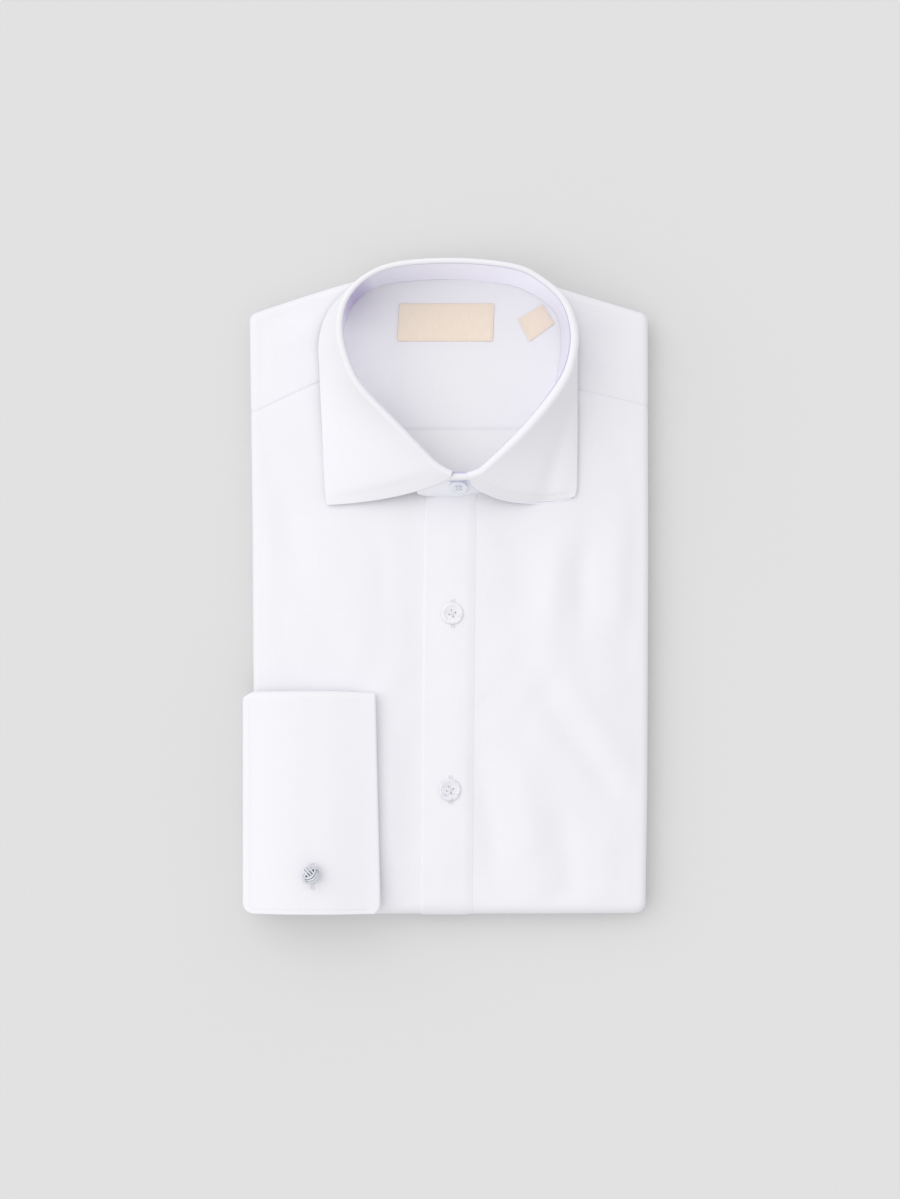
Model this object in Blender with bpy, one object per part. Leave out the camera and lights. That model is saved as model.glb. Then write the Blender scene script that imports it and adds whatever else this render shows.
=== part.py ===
"""A long sleeve dress shirt folded flat, with its collar standing and one French cuff laid on the front.

The origin is on the surface that the shirt lies on, under the middle of its box. +Y points to the collar, +Z up
and +X to the side that the shirt's left front is on. Sizes and tables are in millimetres, and the last step of
every builder turns them into metres.
"""

from math import cos, pi, radians, sin

import bmesh
import bpy
import numpy as np
from mathutils import Matrix, Vector

MM = 0.001
UP = np.array((0.0, 0.0, 1.0))

# The pile, seen from above: outermost lines of its folded edges.
SIDE_LEFT = ((-176, -104.6), (-60, -104.7), (30, -105.0), (150, -106.0))  # y, x
SIDE_RIGHT = ((-176, 108.2), (-110, 109.4), (20, 109.9), (150, 109.6))  # y, x
TOP_EDGE = (  # x, y: shoulder slopes and the back neck between them
    (-106, 150.6), (-75, 160.6), (-50, 168.2), (-25, 173.2), (5, 174.8),
    (32, 173.2), (50, 168.2), (80, 159.0), (109.6, 150.6),
)
BOTTOM_EDGE_Y = -175.0

# The pile's thickness.
EDGE_HEIGHT = 14.5  # top of the cloth where a side roll starts
CROWN_HEIGHT = 23.0  # top of the cloth in the middle
END_SHARE = 0.35  # how much of the crown is left at the top and bottom ends
SIDE_ROLL = 4.5  # radius of the folded edge at the sides and the shoulders
BOTTOM_ROLL = 6.5
ROLL_START = radians(10)
ROLL_END = radians(150)
CORNER_ROUND = 1.5
CORNER_STEPS = 3
SHOULDER_Y = 148.5
LEFT_STATIONS_Y = (-164, -158, -130, -95, -60, -50, -42, 0, 50, 97, 115, 132)  # closest at the sleeve and neck
RIGHT_STATIONS_Y = (132, 115, 97, 50, 0, -50, -100, -145)

# Cloth.
CLOTH = 1.2
THIN_CLOTH = 1.0
NECK_EDGE = 2.1  # how far outside the band's inner line the fronts' necklines run
SEAM_GAP = 0.35
PLACKET_CLOTH = 1.2
BACK_DROP = 1.9  # the back's top lies this far under the fronts' top
LAYERS_DROP = 3.6  # the folded layers' top lies this far under the fronts' top

# Folded layers round the sides: (how far inside the folded edge, share of their height), then the groove.
LOBES = ((4.0, 0.0), (2.2, 0.08), (1.5, 0.26), (2.4, 0.47), (2.2, 0.55), (1.3, 0.78), (2.2, 0.96))
LOBE_GAP = 0.8  # between the lower folds and the end of the front's roll
GROOVE_DEEP = 5.4
SLEEVE_ROOM_DEEP = 3.6  # more depth and height for the groove where the sleeve is tucked into it
SLEEVE_ROOM_TALL = 2.9
SLEEVE_ROOM_Y = (-171, -164, -50, -42)  # the room grows, is whole, and shrinks again between these

# Placket, fronts and yoke seams.
PLACKET_LEFT = ((-176, -13.4), (-60, -12.6), (52, -11.4))  # y, x
PLACKET_WIDTH = 29.3
PLACKET_TOP_Y = 50.8
FRONT_TUCK = 9.0  # how far a front runs in under the placket
YOKE_SEAM_LEFT_Y = (117.5, 97.0)  # at the neck and at the side
YOKE_SEAM_RIGHT_Y = (110.5, 100.0)
INNER_YOKE_SEAM_Y = 86.8
INNER_YOKE_TOP_Y = 160.0
INNER_YOKE_HALF_WIDE = ((87, 84), (140, 80), (160, 52))  # y, half width
INNER_YOKE_MIDDLE_X = 4.0
BACK_BOTTOM_Y = -160.0
BACK_HALF_WIDE = 88.0

# Collar, a row for each section from the front round the wearer's right, the back and the left to the front.
# rim: the inner line of the fold, base: the inner line of the neck seam, edge: the leaf's free edge.
# bow: how far the fall swings to the front, hug: how early it drops, belly: how far the stand bulges outwards.
COLLAR_COLUMNS = (
    "rim_x", "rim_y", "rim_z", "base_x", "base_y", "edge_x", "edge_y", "edge_z", "bow", "hug", "belly",
)
COLLAR = (
    (4.4, 63.0, 42.0, 4.0, 55.4, -64.4, 46.3, 21.9, 3.4, 0.10, 3.0),
    (-7.7, 70.7, 44.0, -10.0, 55.8, -65.4, 56.0, 22.2, 2.0, 0.10, 2.6),
    (-27.3, 88.0, 47.5, -35.5, 69.5, -66.3, 79.0, 22.2, 0.6, 0.10, 1.4),
    (-44.8, 107.5, 50.0, -51.5, 96.0, -67.3, 104.0, 21.8, 0.0, 0.05, 0.8),
    (-51.1, 121.2, 51.0, -55.5, 114.0, -67.8, 119.5, 21.2, 0.0, 0.0, 0.6),
    (-54.3, 137.6, 52.0, -56.8, 133.5, -68.0, 136.0, 20.6, 0.0, 0.0, 0.5),
    (-49.5, 152.8, 53.0, -53.0, 150.5, -62.2, 152.5, 19.6, 0.0, 0.0, 0.5),
    (-38.9, 165.0, 53.5, -40.4, 159.7, -44.5, 170.2, 19.2, 0.0, 0.0, 0.3),
    (-23.0, 170.6, 54.0, -24.0, 165.6, -25.0, 176.2, 13.0, 0.0, 0.0, 0.0),
    (6.1, 171.5, 54.0, 5.0, 167.4, 6.1, 177.2, 12.0, 0.0, 0.0, 0.0),
    (35.2, 169.9, 54.0, 34.0, 162.6, 36.6, 175.4, 13.0, 0.0, 0.0, 0.0),
    (49.5, 163.6, 53.5, 49.0, 156.6, 53.2, 168.0, 19.0, 0.0, 0.0, 0.3),
    (60.6, 152.2, 53.0, 58.6, 148.0, 65.6, 154.0, 19.6, 0.0, 0.0, 0.5),
    (66.0, 137.0, 52.0, 60.8, 134.0, 70.6, 137.5, 20.6, 0.0, 0.0, 0.5),
    (64.4, 121.2, 51.0, 60.3, 118.0, 70.8, 121.0, 21.0, 0.0, 0.0, 0.6),
    (58.1, 107.5, 50.0, 57.0, 98.5, 70.9, 104.0, 21.6, 0.0, 0.2, 0.8),
    (41.7, 85.9, 47.5, 43.5, 70.5, 71.2, 80.0, 22.0, 1.0, 0.45, 1.4),
    (20.5, 67.5, 44.0, 20.5, 56.0, 71.2, 58.0, 22.2, 5.0, 0.7, 2.6),
    (6.8, 63.0, 42.0, 7.2, 55.4, 70.3, 51.1, 22.2, 8.5, 0.75, 3.0),
)
SECTIONS_BETWEEN = 2
LEAF_CLOTH = 1.1
LEAF_OVER_SEAM = 3.0  # the fold stands this far above the stand's top edge
STAND_OVERLAP = 11.0  # the stand's end runs this far past the centre front
FALL_STEPS = 7

# Cuff, sleeve and link.
CUFF_RIGHT_X = (-37.6, -34.9)  # wrist fold, at the cuff's top and bottom edges
CUFF_LEFT_X = -103.9
CUFF_Y = (-173.3, -54.4)
CUFF_UNDERSIDE = 22.9
CUFF_THICK = 7.4
CUFF_PLY = 1.1
PLY_APART = 1.6
CUFF_SAG = 5.5  # how far the cuff bends down towards the side of the pile
CUFF_SAG_FROM_X = -75.0
SLEEVE_CLOTH = 1.0
SLEEVE_OUTER_X = -109.9
SLEEVE_THIN = 2.5  # the flattened sleeve's thickness once it is clear of the cuff
SLEEVE_TUCK_Z = 7.9  # the sleeve turns in under the front's roll from here down
SLEEVE_TUCK_RADIUS = 3.6
SLEEVE_TUCK_RUN = 4.0
SLEEVE_LOWER_TAPER = ((0, 0.6), (0.4, 3.0), (1, 10.5))  # share of the way round, drawn in from the cuff's edge
SLEEVE_UPPER_TAPER = ((0, 0.6), (0.4, 3.4), (1, 6.0))
STEEPER = 1.35  # makes the sleeve's section a flat tube instead of an ellipse
LINK = (-71.6, -152.3)
LINK_HOLE = 3.6
CUFF_BUTTONHOLE = 20.4
SLIT = 1.2

# Buttons, labels and the link's knots.
FRONT_BUTTON = 11.8
COLLAR_BUTTON = 9.6
BUTTONS_XY = ((4.0, -11.5), (2.4, -107.6))
BUTTONHOLE = 15.4
COLLAR_BUTTON_X = 7.2
BUTTON_SEAT = 0.35  # a button's back stands this far off the cloth
THREAD_HOLE = 1.3
PLACKET_SLIT = 1.0  # width of a front buttonhole
LABEL_SIZE = (51.0, 20.8)
LABEL_CENTRE = (0.2, 145.2)
TAB_SIZE = (14.8, 14.0)
TAB_CENTRE = (48.2, 143.4)
TAB_TURN = radians(20)
KNOT_WIDE = 9.7
KNOT_TALL = 8.0
KNOT_CORD = 2.6
KNOT_UNDER_GAP = 0.9  # between the knot under the cuff and the front below it


# ----------------------------------------------------------------------------------------------------
# Numbers and curves


def along(table, value):
    """The table's second column where its first column is value."""
    places, results = zip(*table)
    return float(np.interp(value, places, results))


def catmull(rows, between):
    """Rows of numbers with `between` - 1 smooth rows added in each gap."""
    rows = np.asarray(rows, float)
    padded = np.vstack((2 * rows[0] - rows[1], rows, 2 * rows[-1] - rows[-2]))
    smooth = []
    for a, b, c, d in zip(padded, padded[1:], padded[2:], padded[3:]):
        for step in range(between):
            t = step / between
            smooth.append(
                b + 0.5 * ((c - a) * t + (2 * a - 5 * b + 4 * c - d) * t**2 + (3 * b - a - 3 * c + d) * t**3)
            )
    return np.vstack((smooth, rows[-1]))


def bezier(points, t):
    a, b, c, d = points
    return a * (1 - t) ** 3 + 3 * b * t * (1 - t) ** 2 + 3 * c * t**2 * (1 - t) + d * t**3


def left_of(lines):
    """Unit vectors in plan, pointing to the left of a line's direction at each of its points."""
    run = np.gradient(lines[:, :2], axis=0)
    run /= np.linalg.norm(run, axis=1)[:, None]
    return np.stack((-run[:, 1], run[:, 0], np.zeros(len(run))), axis=1)


# ----------------------------------------------------------------------------------------------------
# The pile's shape


def reach(radius):
    """How far a rolled edge stands out past the rim of the flat top."""
    return radius * (1 - sin(ROLL_START))


def side_x(y, side):
    """The rim of the flat top at the left (-1) or the right (+1)."""
    return along(SIDE_LEFT, y) + reach(SIDE_ROLL) if side < 0 else along(SIDE_RIGHT, y) - reach(SIDE_ROLL)


BOTTOM_Y = BOTTOM_EDGE_Y + reach(BOTTOM_ROLL)
MIDDLE_X = (SIDE_LEFT[0][1] + SIDE_RIGHT[0][1]) / 2
HALF_WIDE = 104.0
MIDDLE_Y = -2.0
HALF_LONG = 170.0
MIDDLE = np.array((MIDDLE_X, MIDDLE_Y))


def top(x, y):
    """Height of the cloth's upper face over the pile."""
    across = min(abs((x - MIDDLE_X) / HALF_WIDE), 1.0) ** 3
    lengthways = min(abs((y - MIDDLE_Y) / HALF_LONG), 1.0) ** 3
    share = (1 - across) * (END_SHARE + (1 - END_SHARE) * (1 - lengthways))
    return EDGE_HEIGHT + (CROWN_HEIGHT - EDGE_HEIGHT) * share


def on_top(x, y, lift):
    return np.array((x, y, top(x, y) + lift))


def on_roll(rim, outward, radius, angle, lift):
    """A point of a rolled edge, from ROLL_START at the flat top's rim to ROLL_END where it is tucked in."""
    swing = np.array((outward[0], outward[1], 0.0))
    start = np.array((rim[0], rim[1], top(rim[0], rim[1])))
    centre = start - radius * (sin(ROLL_START) * swing + cos(ROLL_START) * UP)
    return centre + (radius + lift) * (sin(angle) * swing + cos(angle) * UP)


def roll_angles(steps):
    return np.linspace(ROLL_START, ROLL_END, steps + 1)[1:]


def rounded_corner(before, corner, after, steps):
    """Points and outward normals round a corner of a clockwise outline."""
    sides = [np.array(corner) - before, np.array(after) - corner]
    sides = [side / np.linalg.norm(side) for side in sides]
    normals = [np.array((-side[1], side[0])) for side in sides]
    turn = np.arccos(np.clip(normals[0] @ normals[1], -1, 1))
    back = CORNER_ROUND * np.tan(turn / 2)
    centre = np.array(corner) - sides[0] * back - normals[0] * CORNER_ROUND
    found = []
    for share in np.linspace(0, 1, steps + 1):
        normal = normals[0] * (1 - share) + normals[1] * share
        normal /= np.linalg.norm(normal)
        found.append((centre + normal * CORNER_ROUND, normal))
    return found


def rim_outline():
    """(point, outward normal, roll radius) round the flat top, clockwise from the bottom edge's left end."""
    left = [(side_x(y, -1), y) for y in (BOTTOM_Y, *LEFT_STATIONS_Y, SHOULDER_Y)]
    shoulders = [(x, along(TOP_EDGE, x) - reach(SIDE_ROLL)) for x in np.linspace(-101, 105, 15)]
    right = [(side_x(y, 1), y) for y in (SHOULDER_Y, *RIGHT_STATIONS_Y, BOTTOM_Y)]
    bottom = [(x, BOTTOM_Y) for x in np.linspace(right[-1][0], left[0][0], 8)]
    found = []
    runs = ((left, SIDE_ROLL), (shoulders, SIDE_ROLL), (right, SIDE_ROLL), (bottom, BOTTOM_ROLL))
    for index, (run, radius) in enumerate(runs):
        nearest = runs[(index + 1) % 4]
        normals = left_of(np.array([(*point, 0) for point in run]))
        found += [(np.array(point), normal[:2], radius) for point, normal in zip(run[1:-1], normals[1:-1])]
        corner = run[-1] if index != 0 and index != 1 else crossing(run, nearest[0])
        turned = rounded_corner(run[-2], corner, nearest[0][1], CORNER_STEPS)
        found += [
            (point, normal, radius + (nearest[1] - radius) * step / CORNER_STEPS)
            for step, (point, normal) in enumerate(turned)
        ]
    return found


def crossing(run, following):
    """Where the last stretch of one run and the first stretch of the next one meet when lengthened."""
    start, through = np.array(run[-2]), np.array(run[-1])
    other, onward = np.array(following[1]), np.array(following[2])
    ways = np.stack((through - start, other - onward), axis=1)
    return start + (through - start) * np.linalg.solve(ways, other - start)[0]


# ----------------------------------------------------------------------------------------------------
# Meshes


def material(name, colour, roughness, metallic=0.0):
    made = bpy.data.materials.new(name)
    made.use_nodes = True
    shader = made.node_tree.nodes["Principled BSDF"]
    shader.inputs["Base Color"].default_value = (*colour, 1)
    shader.inputs["Roughness"].default_value = roughness
    shader.inputs["Metallic"].default_value = metallic
    made.diffuse_color = (*colour, 1)
    return made


def add_object(name, mesh, look):
    made = bpy.data.objects.new(name, mesh)
    bpy.context.scene.collection.objects.link(made)
    mesh.materials.append(look)
    return made


def mesh_from(name, points, faces):
    mesh = bpy.data.meshes.new(name)
    mesh.from_pydata([tuple(point * MM) for point in points], [], faces)
    edit = bmesh.new()
    edit.from_mesh(mesh)
    bmesh.ops.recalc_face_normals(edit, faces=edit.faces)
    edit.to_mesh(mesh)
    edit.free()
    mesh.shade_smooth()
    return mesh


def cloth(name, grid, thick, look, ring=False):
    """A sheet through a grid of points, thickened to both sides. A ring's last row is joined to its first."""
    grid = np.asarray(grid)
    rows, columns = grid.shape[:2]
    faces = []
    for row in range(rows if ring else rows - 1):
        following = (row + 1) % rows
        for column in range(columns - 1):
            faces.append(
                (
                    row * columns + column,
                    row * columns + column + 1,
                    following * columns + column + 1,
                    following * columns + column,
                )
            )
    made = add_object(name, mesh_from(name, grid.reshape(-1, 3), faces), look)
    thicken = made.modifiers.new("thickness", "SOLIDIFY")
    thicken.thickness = thick * MM
    thicken.offset = 0
    thicken.use_even_offset = True
    thicken.use_quality_normals = True
    return made


def cut(made, cutter, name):
    cutter.hide_render = True
    cutter.display_type = "WIRE"
    boolean = made.modifiers.new(name, "BOOLEAN")
    boolean.object = cutter
    boolean.operation = "DIFFERENCE"


def cutter_box(name, centre, size, look):
    mesh = bpy.data.meshes.new(name)
    edit = bmesh.new()
    bmesh.ops.create_cube(edit, size=1)
    bmesh.ops.scale(edit, vec=Vector(size) * MM, verts=edit.verts)
    bmesh.ops.translate(edit, vec=Vector(centre) * MM, verts=edit.verts)
    edit.to_mesh(mesh)
    edit.free()
    return add_object(name, mesh, look)


def turned_mesh(name, profile, steps):
    """A profile of (radius, height) from the axis to the axis, spun round Z."""
    mesh = bpy.data.meshes.new(name)
    edit = bmesh.new()
    line = [edit.verts.new((radius * MM, 0, height * MM)) for radius, height in profile]
    edges = [edit.edges.new(pair) for pair in zip(line, line[1:])]
    bmesh.ops.spin(edit, geom=line + edges, axis=(0, 0, 1), cent=(0, 0, 0), angle=2 * pi, steps=steps)
    bmesh.ops.remove_doubles(edit, verts=edit.verts, dist=1e-6)
    bmesh.ops.recalc_face_normals(edit, faces=edit.faces)
    edit.to_mesh(mesh)
    edit.free()
    mesh.shade_smooth()
    mesh.set_sharp_from_angle(angle=radians(40))
    return mesh


def facing(point, normal):
    """A matrix that stands a piece's Z along a normal, with its Y kept towards the collar."""
    z = Vector(normal).normalized()
    x = Vector((0, 1, 0)).cross(z).normalized()
    turn = Matrix((x, z.cross(x), z)).transposed().to_4x4()
    return Matrix.Translation(Vector(point) * MM) @ turn


# ----------------------------------------------------------------------------------------------------
# Folded layers


def folded_layers(look):
    """Everything folded away: a flat underside, layered lower folds, a groove and the filling of the roll."""
    outline = rim_outline()
    rings = []

    def flat_ring(share):
        rings.append([np.array((*(MIDDLE + (point - MIDDLE) * share), 0.0)) for point, _, _ in outline])

    def lobe_ring(inset, share):
        ring = []
        for point, normal, radius in outline:
            fold_end = on_roll(point, normal, radius, ROLL_END, 0)[2]
            height = share * (fold_end - LOBE_GAP - SLEEVE_ROOM_TALL * sleeve_room(*point))
            ring.append(np.array((*(point + normal * (reach(radius) - inset)), height)))
        rings.append(ring)

    def groove_ring(rise, tall_room):
        ring = []
        for point, normal, radius in outline:
            room = sleeve_room(*point)
            height = on_roll(point, normal, radius, ROLL_END, 0)[2] + rise - tall_room * room
            deep = reach(radius) - GROOVE_DEEP - SLEEVE_ROOM_DEEP * room
            ring.append(np.array((*(point + normal * deep), height)))
        rings.append(ring)

    def top_ring(share):
        rings.append([on_top(*(MIDDLE + (point - MIDDLE) * share), -LAYERS_DROP) for point, _, _ in outline])

    for share in (0.25, 0.55, 0.85):
        flat_ring(share)
    for inset, share in LOBES:
        lobe_ring(inset, share)
    groove_ring(-0.5, SLEEVE_ROOM_TALL)
    groove_ring(0.8, 0)
    for angle in radians(148), radians(110), radians(80), radians(50):
        rings.append([on_roll(point, normal, radius, angle, -CLOTH - 0.6) for point, normal, radius in outline])
    for share in (0.97, 0.85, 0.65, 0.45, 0.22):
        top_ring(share)

    count = len(outline)
    points = [point for one in rings for point in one]
    faces = []
    for level in range(len(rings) - 1):
        for place in range(count):
            onward = (place + 1) % count
            faces.append(
                (
                    level * count + place,
                    level * count + onward,
                    (level + 1) * count + onward,
                    (level + 1) * count + place,
                )
            )
    points.append(np.array((*MIDDLE, 0.0)))
    points.append(on_top(*MIDDLE, -LAYERS_DROP))
    last = (len(rings) - 1) * count
    for place in range(count):
        onward = (place + 1) % count
        faces.append((place, len(points) - 2, onward))
        faces.append((last + place, last + onward, len(points) - 1))
    add_object("folded_layers", mesh_from("folded_layers", points, faces), look)


def sleeve_room(x, y):
    """1 where the sleeve is tucked into the left side of the pile, 0 away from it."""
    if x > -90:
        return 0.0
    return float(np.interp(y, SLEEVE_ROOM_Y, (0, 1, 1, 0)))


# ----------------------------------------------------------------------------------------------------
# Panels that lie on the pile


def panel(inner, side, roll_steps=5):
    """A front's grid: rows from its top seam down round the bottom roll, columns from its inner edge out."""
    columns = np.linspace(0, 1, 8)
    angles = roll_angles(roll_steps)
    mid = -CLOTH / 2
    outward = np.array((side, 0.0))
    grid = []
    for (x, y), outer_y in inner:
        outer_x = side_x(outer_y, side)
        row = [on_top(x + (outer_x - x) * t, y + (outer_y - y) * t, mid) for t in columns]
        row += [on_roll((outer_x, outer_y), outward, SIDE_ROLL, angle, mid) for angle in angles]
        grid.append(row)
    corner = np.array((side_x(BOTTOM_Y, side) - side * CORNER_ROUND, BOTTOM_Y + CORNER_ROUND))
    grid[-1][-1 - roll_steps] = on_top(*(corner + CORNER_ROUND * 0.7 * np.array((side, -1))), mid)

    def corner_point(across, down):
        level = max(across, down)
        swing = 45 * down / across if across >= down else 90 - 45 * across / down
        way = np.array((side * cos(radians(swing)), -sin(radians(swing))))
        radius = SIDE_ROLL + (BOTTOM_ROLL - SIDE_ROLL) * swing / 90
        return on_roll(corner + way * CORNER_ROUND, way, radius, angles[level - 1], mid)

    for across in range(1, roll_steps + 1):
        grid[-1][across - 1 - roll_steps] = corner_point(across, 0)
    for down, angle in enumerate(angles, 1):
        flat = grid[len(inner) - 1][: len(columns) - 1]
        row = [on_roll((point[0], BOTTOM_Y), (0, -1), BOTTOM_ROLL, angle, mid) for point in flat]
        row += [corner_point(across, down) for across in range(roll_steps + 1)]
        grid.append(row)
    return grid


def front_rows(neck, tucked, seam_y):
    """((x, y) of the inner end, y of the outer end) for each row of a front, from the top seam down."""
    rows = []
    below_neck = PLACKET_TOP_Y - 6
    for index, place in enumerate(neck):
        share = index / (len(neck) - 1)
        rows.append((place, seam_y + (below_neck - seam_y) * share**0.9))
    for y in np.linspace(30, BOTTOM_Y, 11):
        rows.append(((along(PLACKET_LEFT, y) + tucked, y), y))
    return rows


def neck_line(side, first_x, last_y, count):
    """Points of a front's neckline, from the placket to the yoke's seam, a little outside the band's facing."""
    curves = collar_curves()
    line = (curves["base"] + curves["base_out"] * NECK_EDGE)[:, :2]
    half = len(line) // 2
    line = line[:half] if side < 0 else line[:half:-1]
    line = line[(line[:, 0] * side > first_x * side) & (line[:, 1] < last_y)]
    line = np.vstack(((first_x, line[0, 1]), line, (line[-1, 0] + side * 0.3, last_y)))
    lengths = np.concatenate(([0], np.cumsum(np.linalg.norm(np.diff(line, axis=0), axis=1))))
    return [
        tuple(np.interp(share * lengths[-1], lengths, line[:, axis]) for axis in (0, 1))
        for share in np.linspace(0, 1, count)
    ]


def fronts(look):
    """The wearer's right front on the left and left front on the right, both tucked in under the placket."""
    for name, side, tucked, seam in (
        ("front_right", -1, FRONT_TUCK, YOKE_SEAM_LEFT_Y),
        ("front_left", 1, PLACKET_WIDTH - FRONT_TUCK, YOKE_SEAM_RIGHT_Y),
    ):
        neck = neck_line(side, along(PLACKET_LEFT, PLACKET_TOP_Y) + tucked, seam[0] - SEAM_GAP, 10)[::-1]
        cloth(name, panel(front_rows(neck, tucked, seam[1] - SEAM_GAP), side), CLOTH, look)


def placket(look, plain):
    """The button front, a second ply on the left front, with its two buttonholes."""
    lift = SEAM_GAP + PLACKET_CLOTH / 2
    grid = []
    for y in np.linspace(PLACKET_TOP_Y, BOTTOM_Y, 15):
        start = along(PLACKET_LEFT, y)
        grid.append([on_top(start + PLACKET_WIDTH * t, y, lift) for t in (0, 0.33, 0.67, 1)])
    for angle in roll_angles(6)[:5]:
        grid.append([on_roll((p[0], BOTTOM_Y), (0, -1), BOTTOM_ROLL, angle, lift) for p in grid[14]])
    made = cloth("placket", grid, PLACKET_CLOTH, look)
    for index, (x, y) in enumerate(BUTTONS_XY, 1):
        size = (PLACKET_SLIT, BUTTONHOLE, 4)
        cut(made, cutter_box(f"slit_{index}", (x, y, top(x, y) + lift), size, plain), f"buttonhole {index}")


def shares_of(points):
    """Each point's share of the length of the line through them."""
    lengths = np.concatenate(([0], np.cumsum(np.linalg.norm(np.diff(points, axis=0), axis=1))))
    return lengths / lengths[-1]


def yoke(look):
    """The outer yoke: from the left front seam over the shoulders and the back neck to the right front seam."""
    curves = collar_curves()
    line = (curves["base"] + curves["base_out"] * (NECK_EDGE + 0.5))[:, :2]
    half = len(line) // 2
    left, right = YOKE_SEAM_LEFT_Y, YOKE_SEAM_RIGHT_Y
    start = int(np.argmin(abs(line[:half, 1] - left[0])))
    stop = half + int(np.argmin(abs(line[half:, 1] - right[0])))
    neck = line[start : stop + 1]
    neck[0, 1], neck[-1, 1] = left[0], right[0]

    stations = [(np.array((side_x(left[1], -1), left[1])), np.array((-1.0, 0.0)))]
    for point, normal, _ in rim_outline():
        seam_y = left[1] if point[0] < 0 else right[1]
        if point[1] > seam_y + 4:
            stations.append((point, normal))
    stations.append((np.array((side_x(right[1], 1), right[1])), np.array((1.0, 0.0))))

    neck_at, outer_at = shares_of(neck), shares_of([point for point, _ in stations])
    grid = []
    for (point, normal), share in zip(stations, outer_at):
        inner = np.array([np.interp(share, neck_at, neck[:, axis]) for axis in (0, 1)])
        row = [on_top(*(inner + (point - inner) * t), -CLOTH / 2) for t in (0, 0.25, 0.5, 0.75, 1)]
        row += [on_roll(point, normal, SIDE_ROLL, angle, -CLOTH / 2) for angle in roll_angles(5)]
        grid.append(row)
    cloth("yoke", grid, CLOTH, look)


def back(look):
    """The inner yoke and the back panel, which show inside the neck and lie flat under the fronts."""
    lift = -BACK_DROP - CLOTH / 2
    across = np.linspace(-1, 1, 9)
    inner_rows = []
    for y in np.linspace(INNER_YOKE_SEAM_Y + SEAM_GAP, INNER_YOKE_TOP_Y, 9):
        half_wide = along(INNER_YOKE_HALF_WIDE, y)
        inner_rows.append([on_top(INNER_YOKE_MIDDLE_X + half_wide * t, y, lift) for t in across])
    cloth("inner_yoke", inner_rows, CLOTH, look)
    panel_rows = []
    for y in np.linspace(BACK_BOTTOM_Y, INNER_YOKE_SEAM_Y - SEAM_GAP / 2, 11):
        panel_rows.append([on_top(MIDDLE_X + BACK_HALF_WIDE * t, y, lift) for t in across])
    cloth("back_panel", panel_rows, CLOTH, look)


# ----------------------------------------------------------------------------------------------------
# Collar


def collar_curves():
    """The collar table's smooth curves, with the outward direction of the rim at each section."""
    smooth = catmull(COLLAR, SECTIONS_BETWEEN)
    column = {name: smooth[:, index] for index, name in enumerate(COLLAR_COLUMNS)}
    flat = np.zeros(len(smooth))
    rim = np.stack((column["rim_x"], column["rim_y"], column["rim_z"]), axis=1)
    base = np.stack((column["base_x"], column["base_y"], flat), axis=1)
    edge = np.stack((column["edge_x"], column["edge_y"], column["edge_z"]), axis=1)
    return {
        "rim": rim,
        "base": base,
        "edge": edge,
        "out": left_of(rim),
        "base_out": left_of(base),
        "bow": column["bow"],
        "hug": column["hug"],
        "belly": column["belly"],
    }


def moved_out(grid, distance):
    """A grid moved along its own normals, which point away from the neck."""
    grid = np.asarray(grid)
    along_rows, along_columns = np.gradient(grid, axis=0), np.gradient(grid, axis=1)
    normals = np.cross(along_columns, along_rows)
    normals /= np.linalg.norm(normals, axis=2)[:, :, None]
    return grid + normals * distance


def band_grid(curves, foot, shares):
    """The band's inner face, a row for each section, from foot above the pile up to the leaf's seam."""
    grid = []
    for rim, base, out, belly in zip(curves["rim"], curves["base"], curves["out"], curves["belly"]):
        start = on_top(base[0], base[1], -BACK_DROP)
        run = rim - UP * LEAF_OVER_SEAM - start
        first = (foot + BACK_DROP) / run[2]
        steps = first + (1 - first) * shares
        grid.append([start + run * step + out * belly * sin(pi * min(step * 1.15, 1)) for step in steps])
    return grid


def collar_band(look, lavender):
    curves = collar_curves()
    shares = np.linspace(0, 1, 6)
    inside = moved_out(band_grid(curves, -BACK_DROP + 0.7, shares), THIN_CLOTH / 2)
    cloth("collar_band_lining", inside, THIN_CLOTH, lavender)
    grid = list(moved_out(band_grid(curves, 0.3, shares), THIN_CLOTH * 1.5 + SEAM_GAP))
    # The wearer's left end laps over the right end, so it runs on past the centre front, one ply further out.
    end = grid[-1]
    lap = moved_out(grid, THIN_CLOTH + SEAM_GAP)[-1]
    beyond = []
    for step, low, high in ((0.3, 0.0, 0.94), (0.7, 0.03, 0.88), (0.93, 0.1, 0.78), (1, 0.25, 0.6)):
        section = [lap[0] + (lap[-1] - lap[0]) * (low + (high - low) * share) for share in shares]
        bulge = np.interp(low + (high - low) * shares, shares, [(point - lap[0])[1] for point in lap])
        for point, place in zip(section, bulge):
            point[1] = lap[0][1] + place
            point[0] = end[0][0] - STAND_OVERLAP * step
        beyond.append(np.array(section))
    cloth("collar_stand", grid[1:] + beyond, THIN_CLOTH, look)
    return beyond[0]


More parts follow.
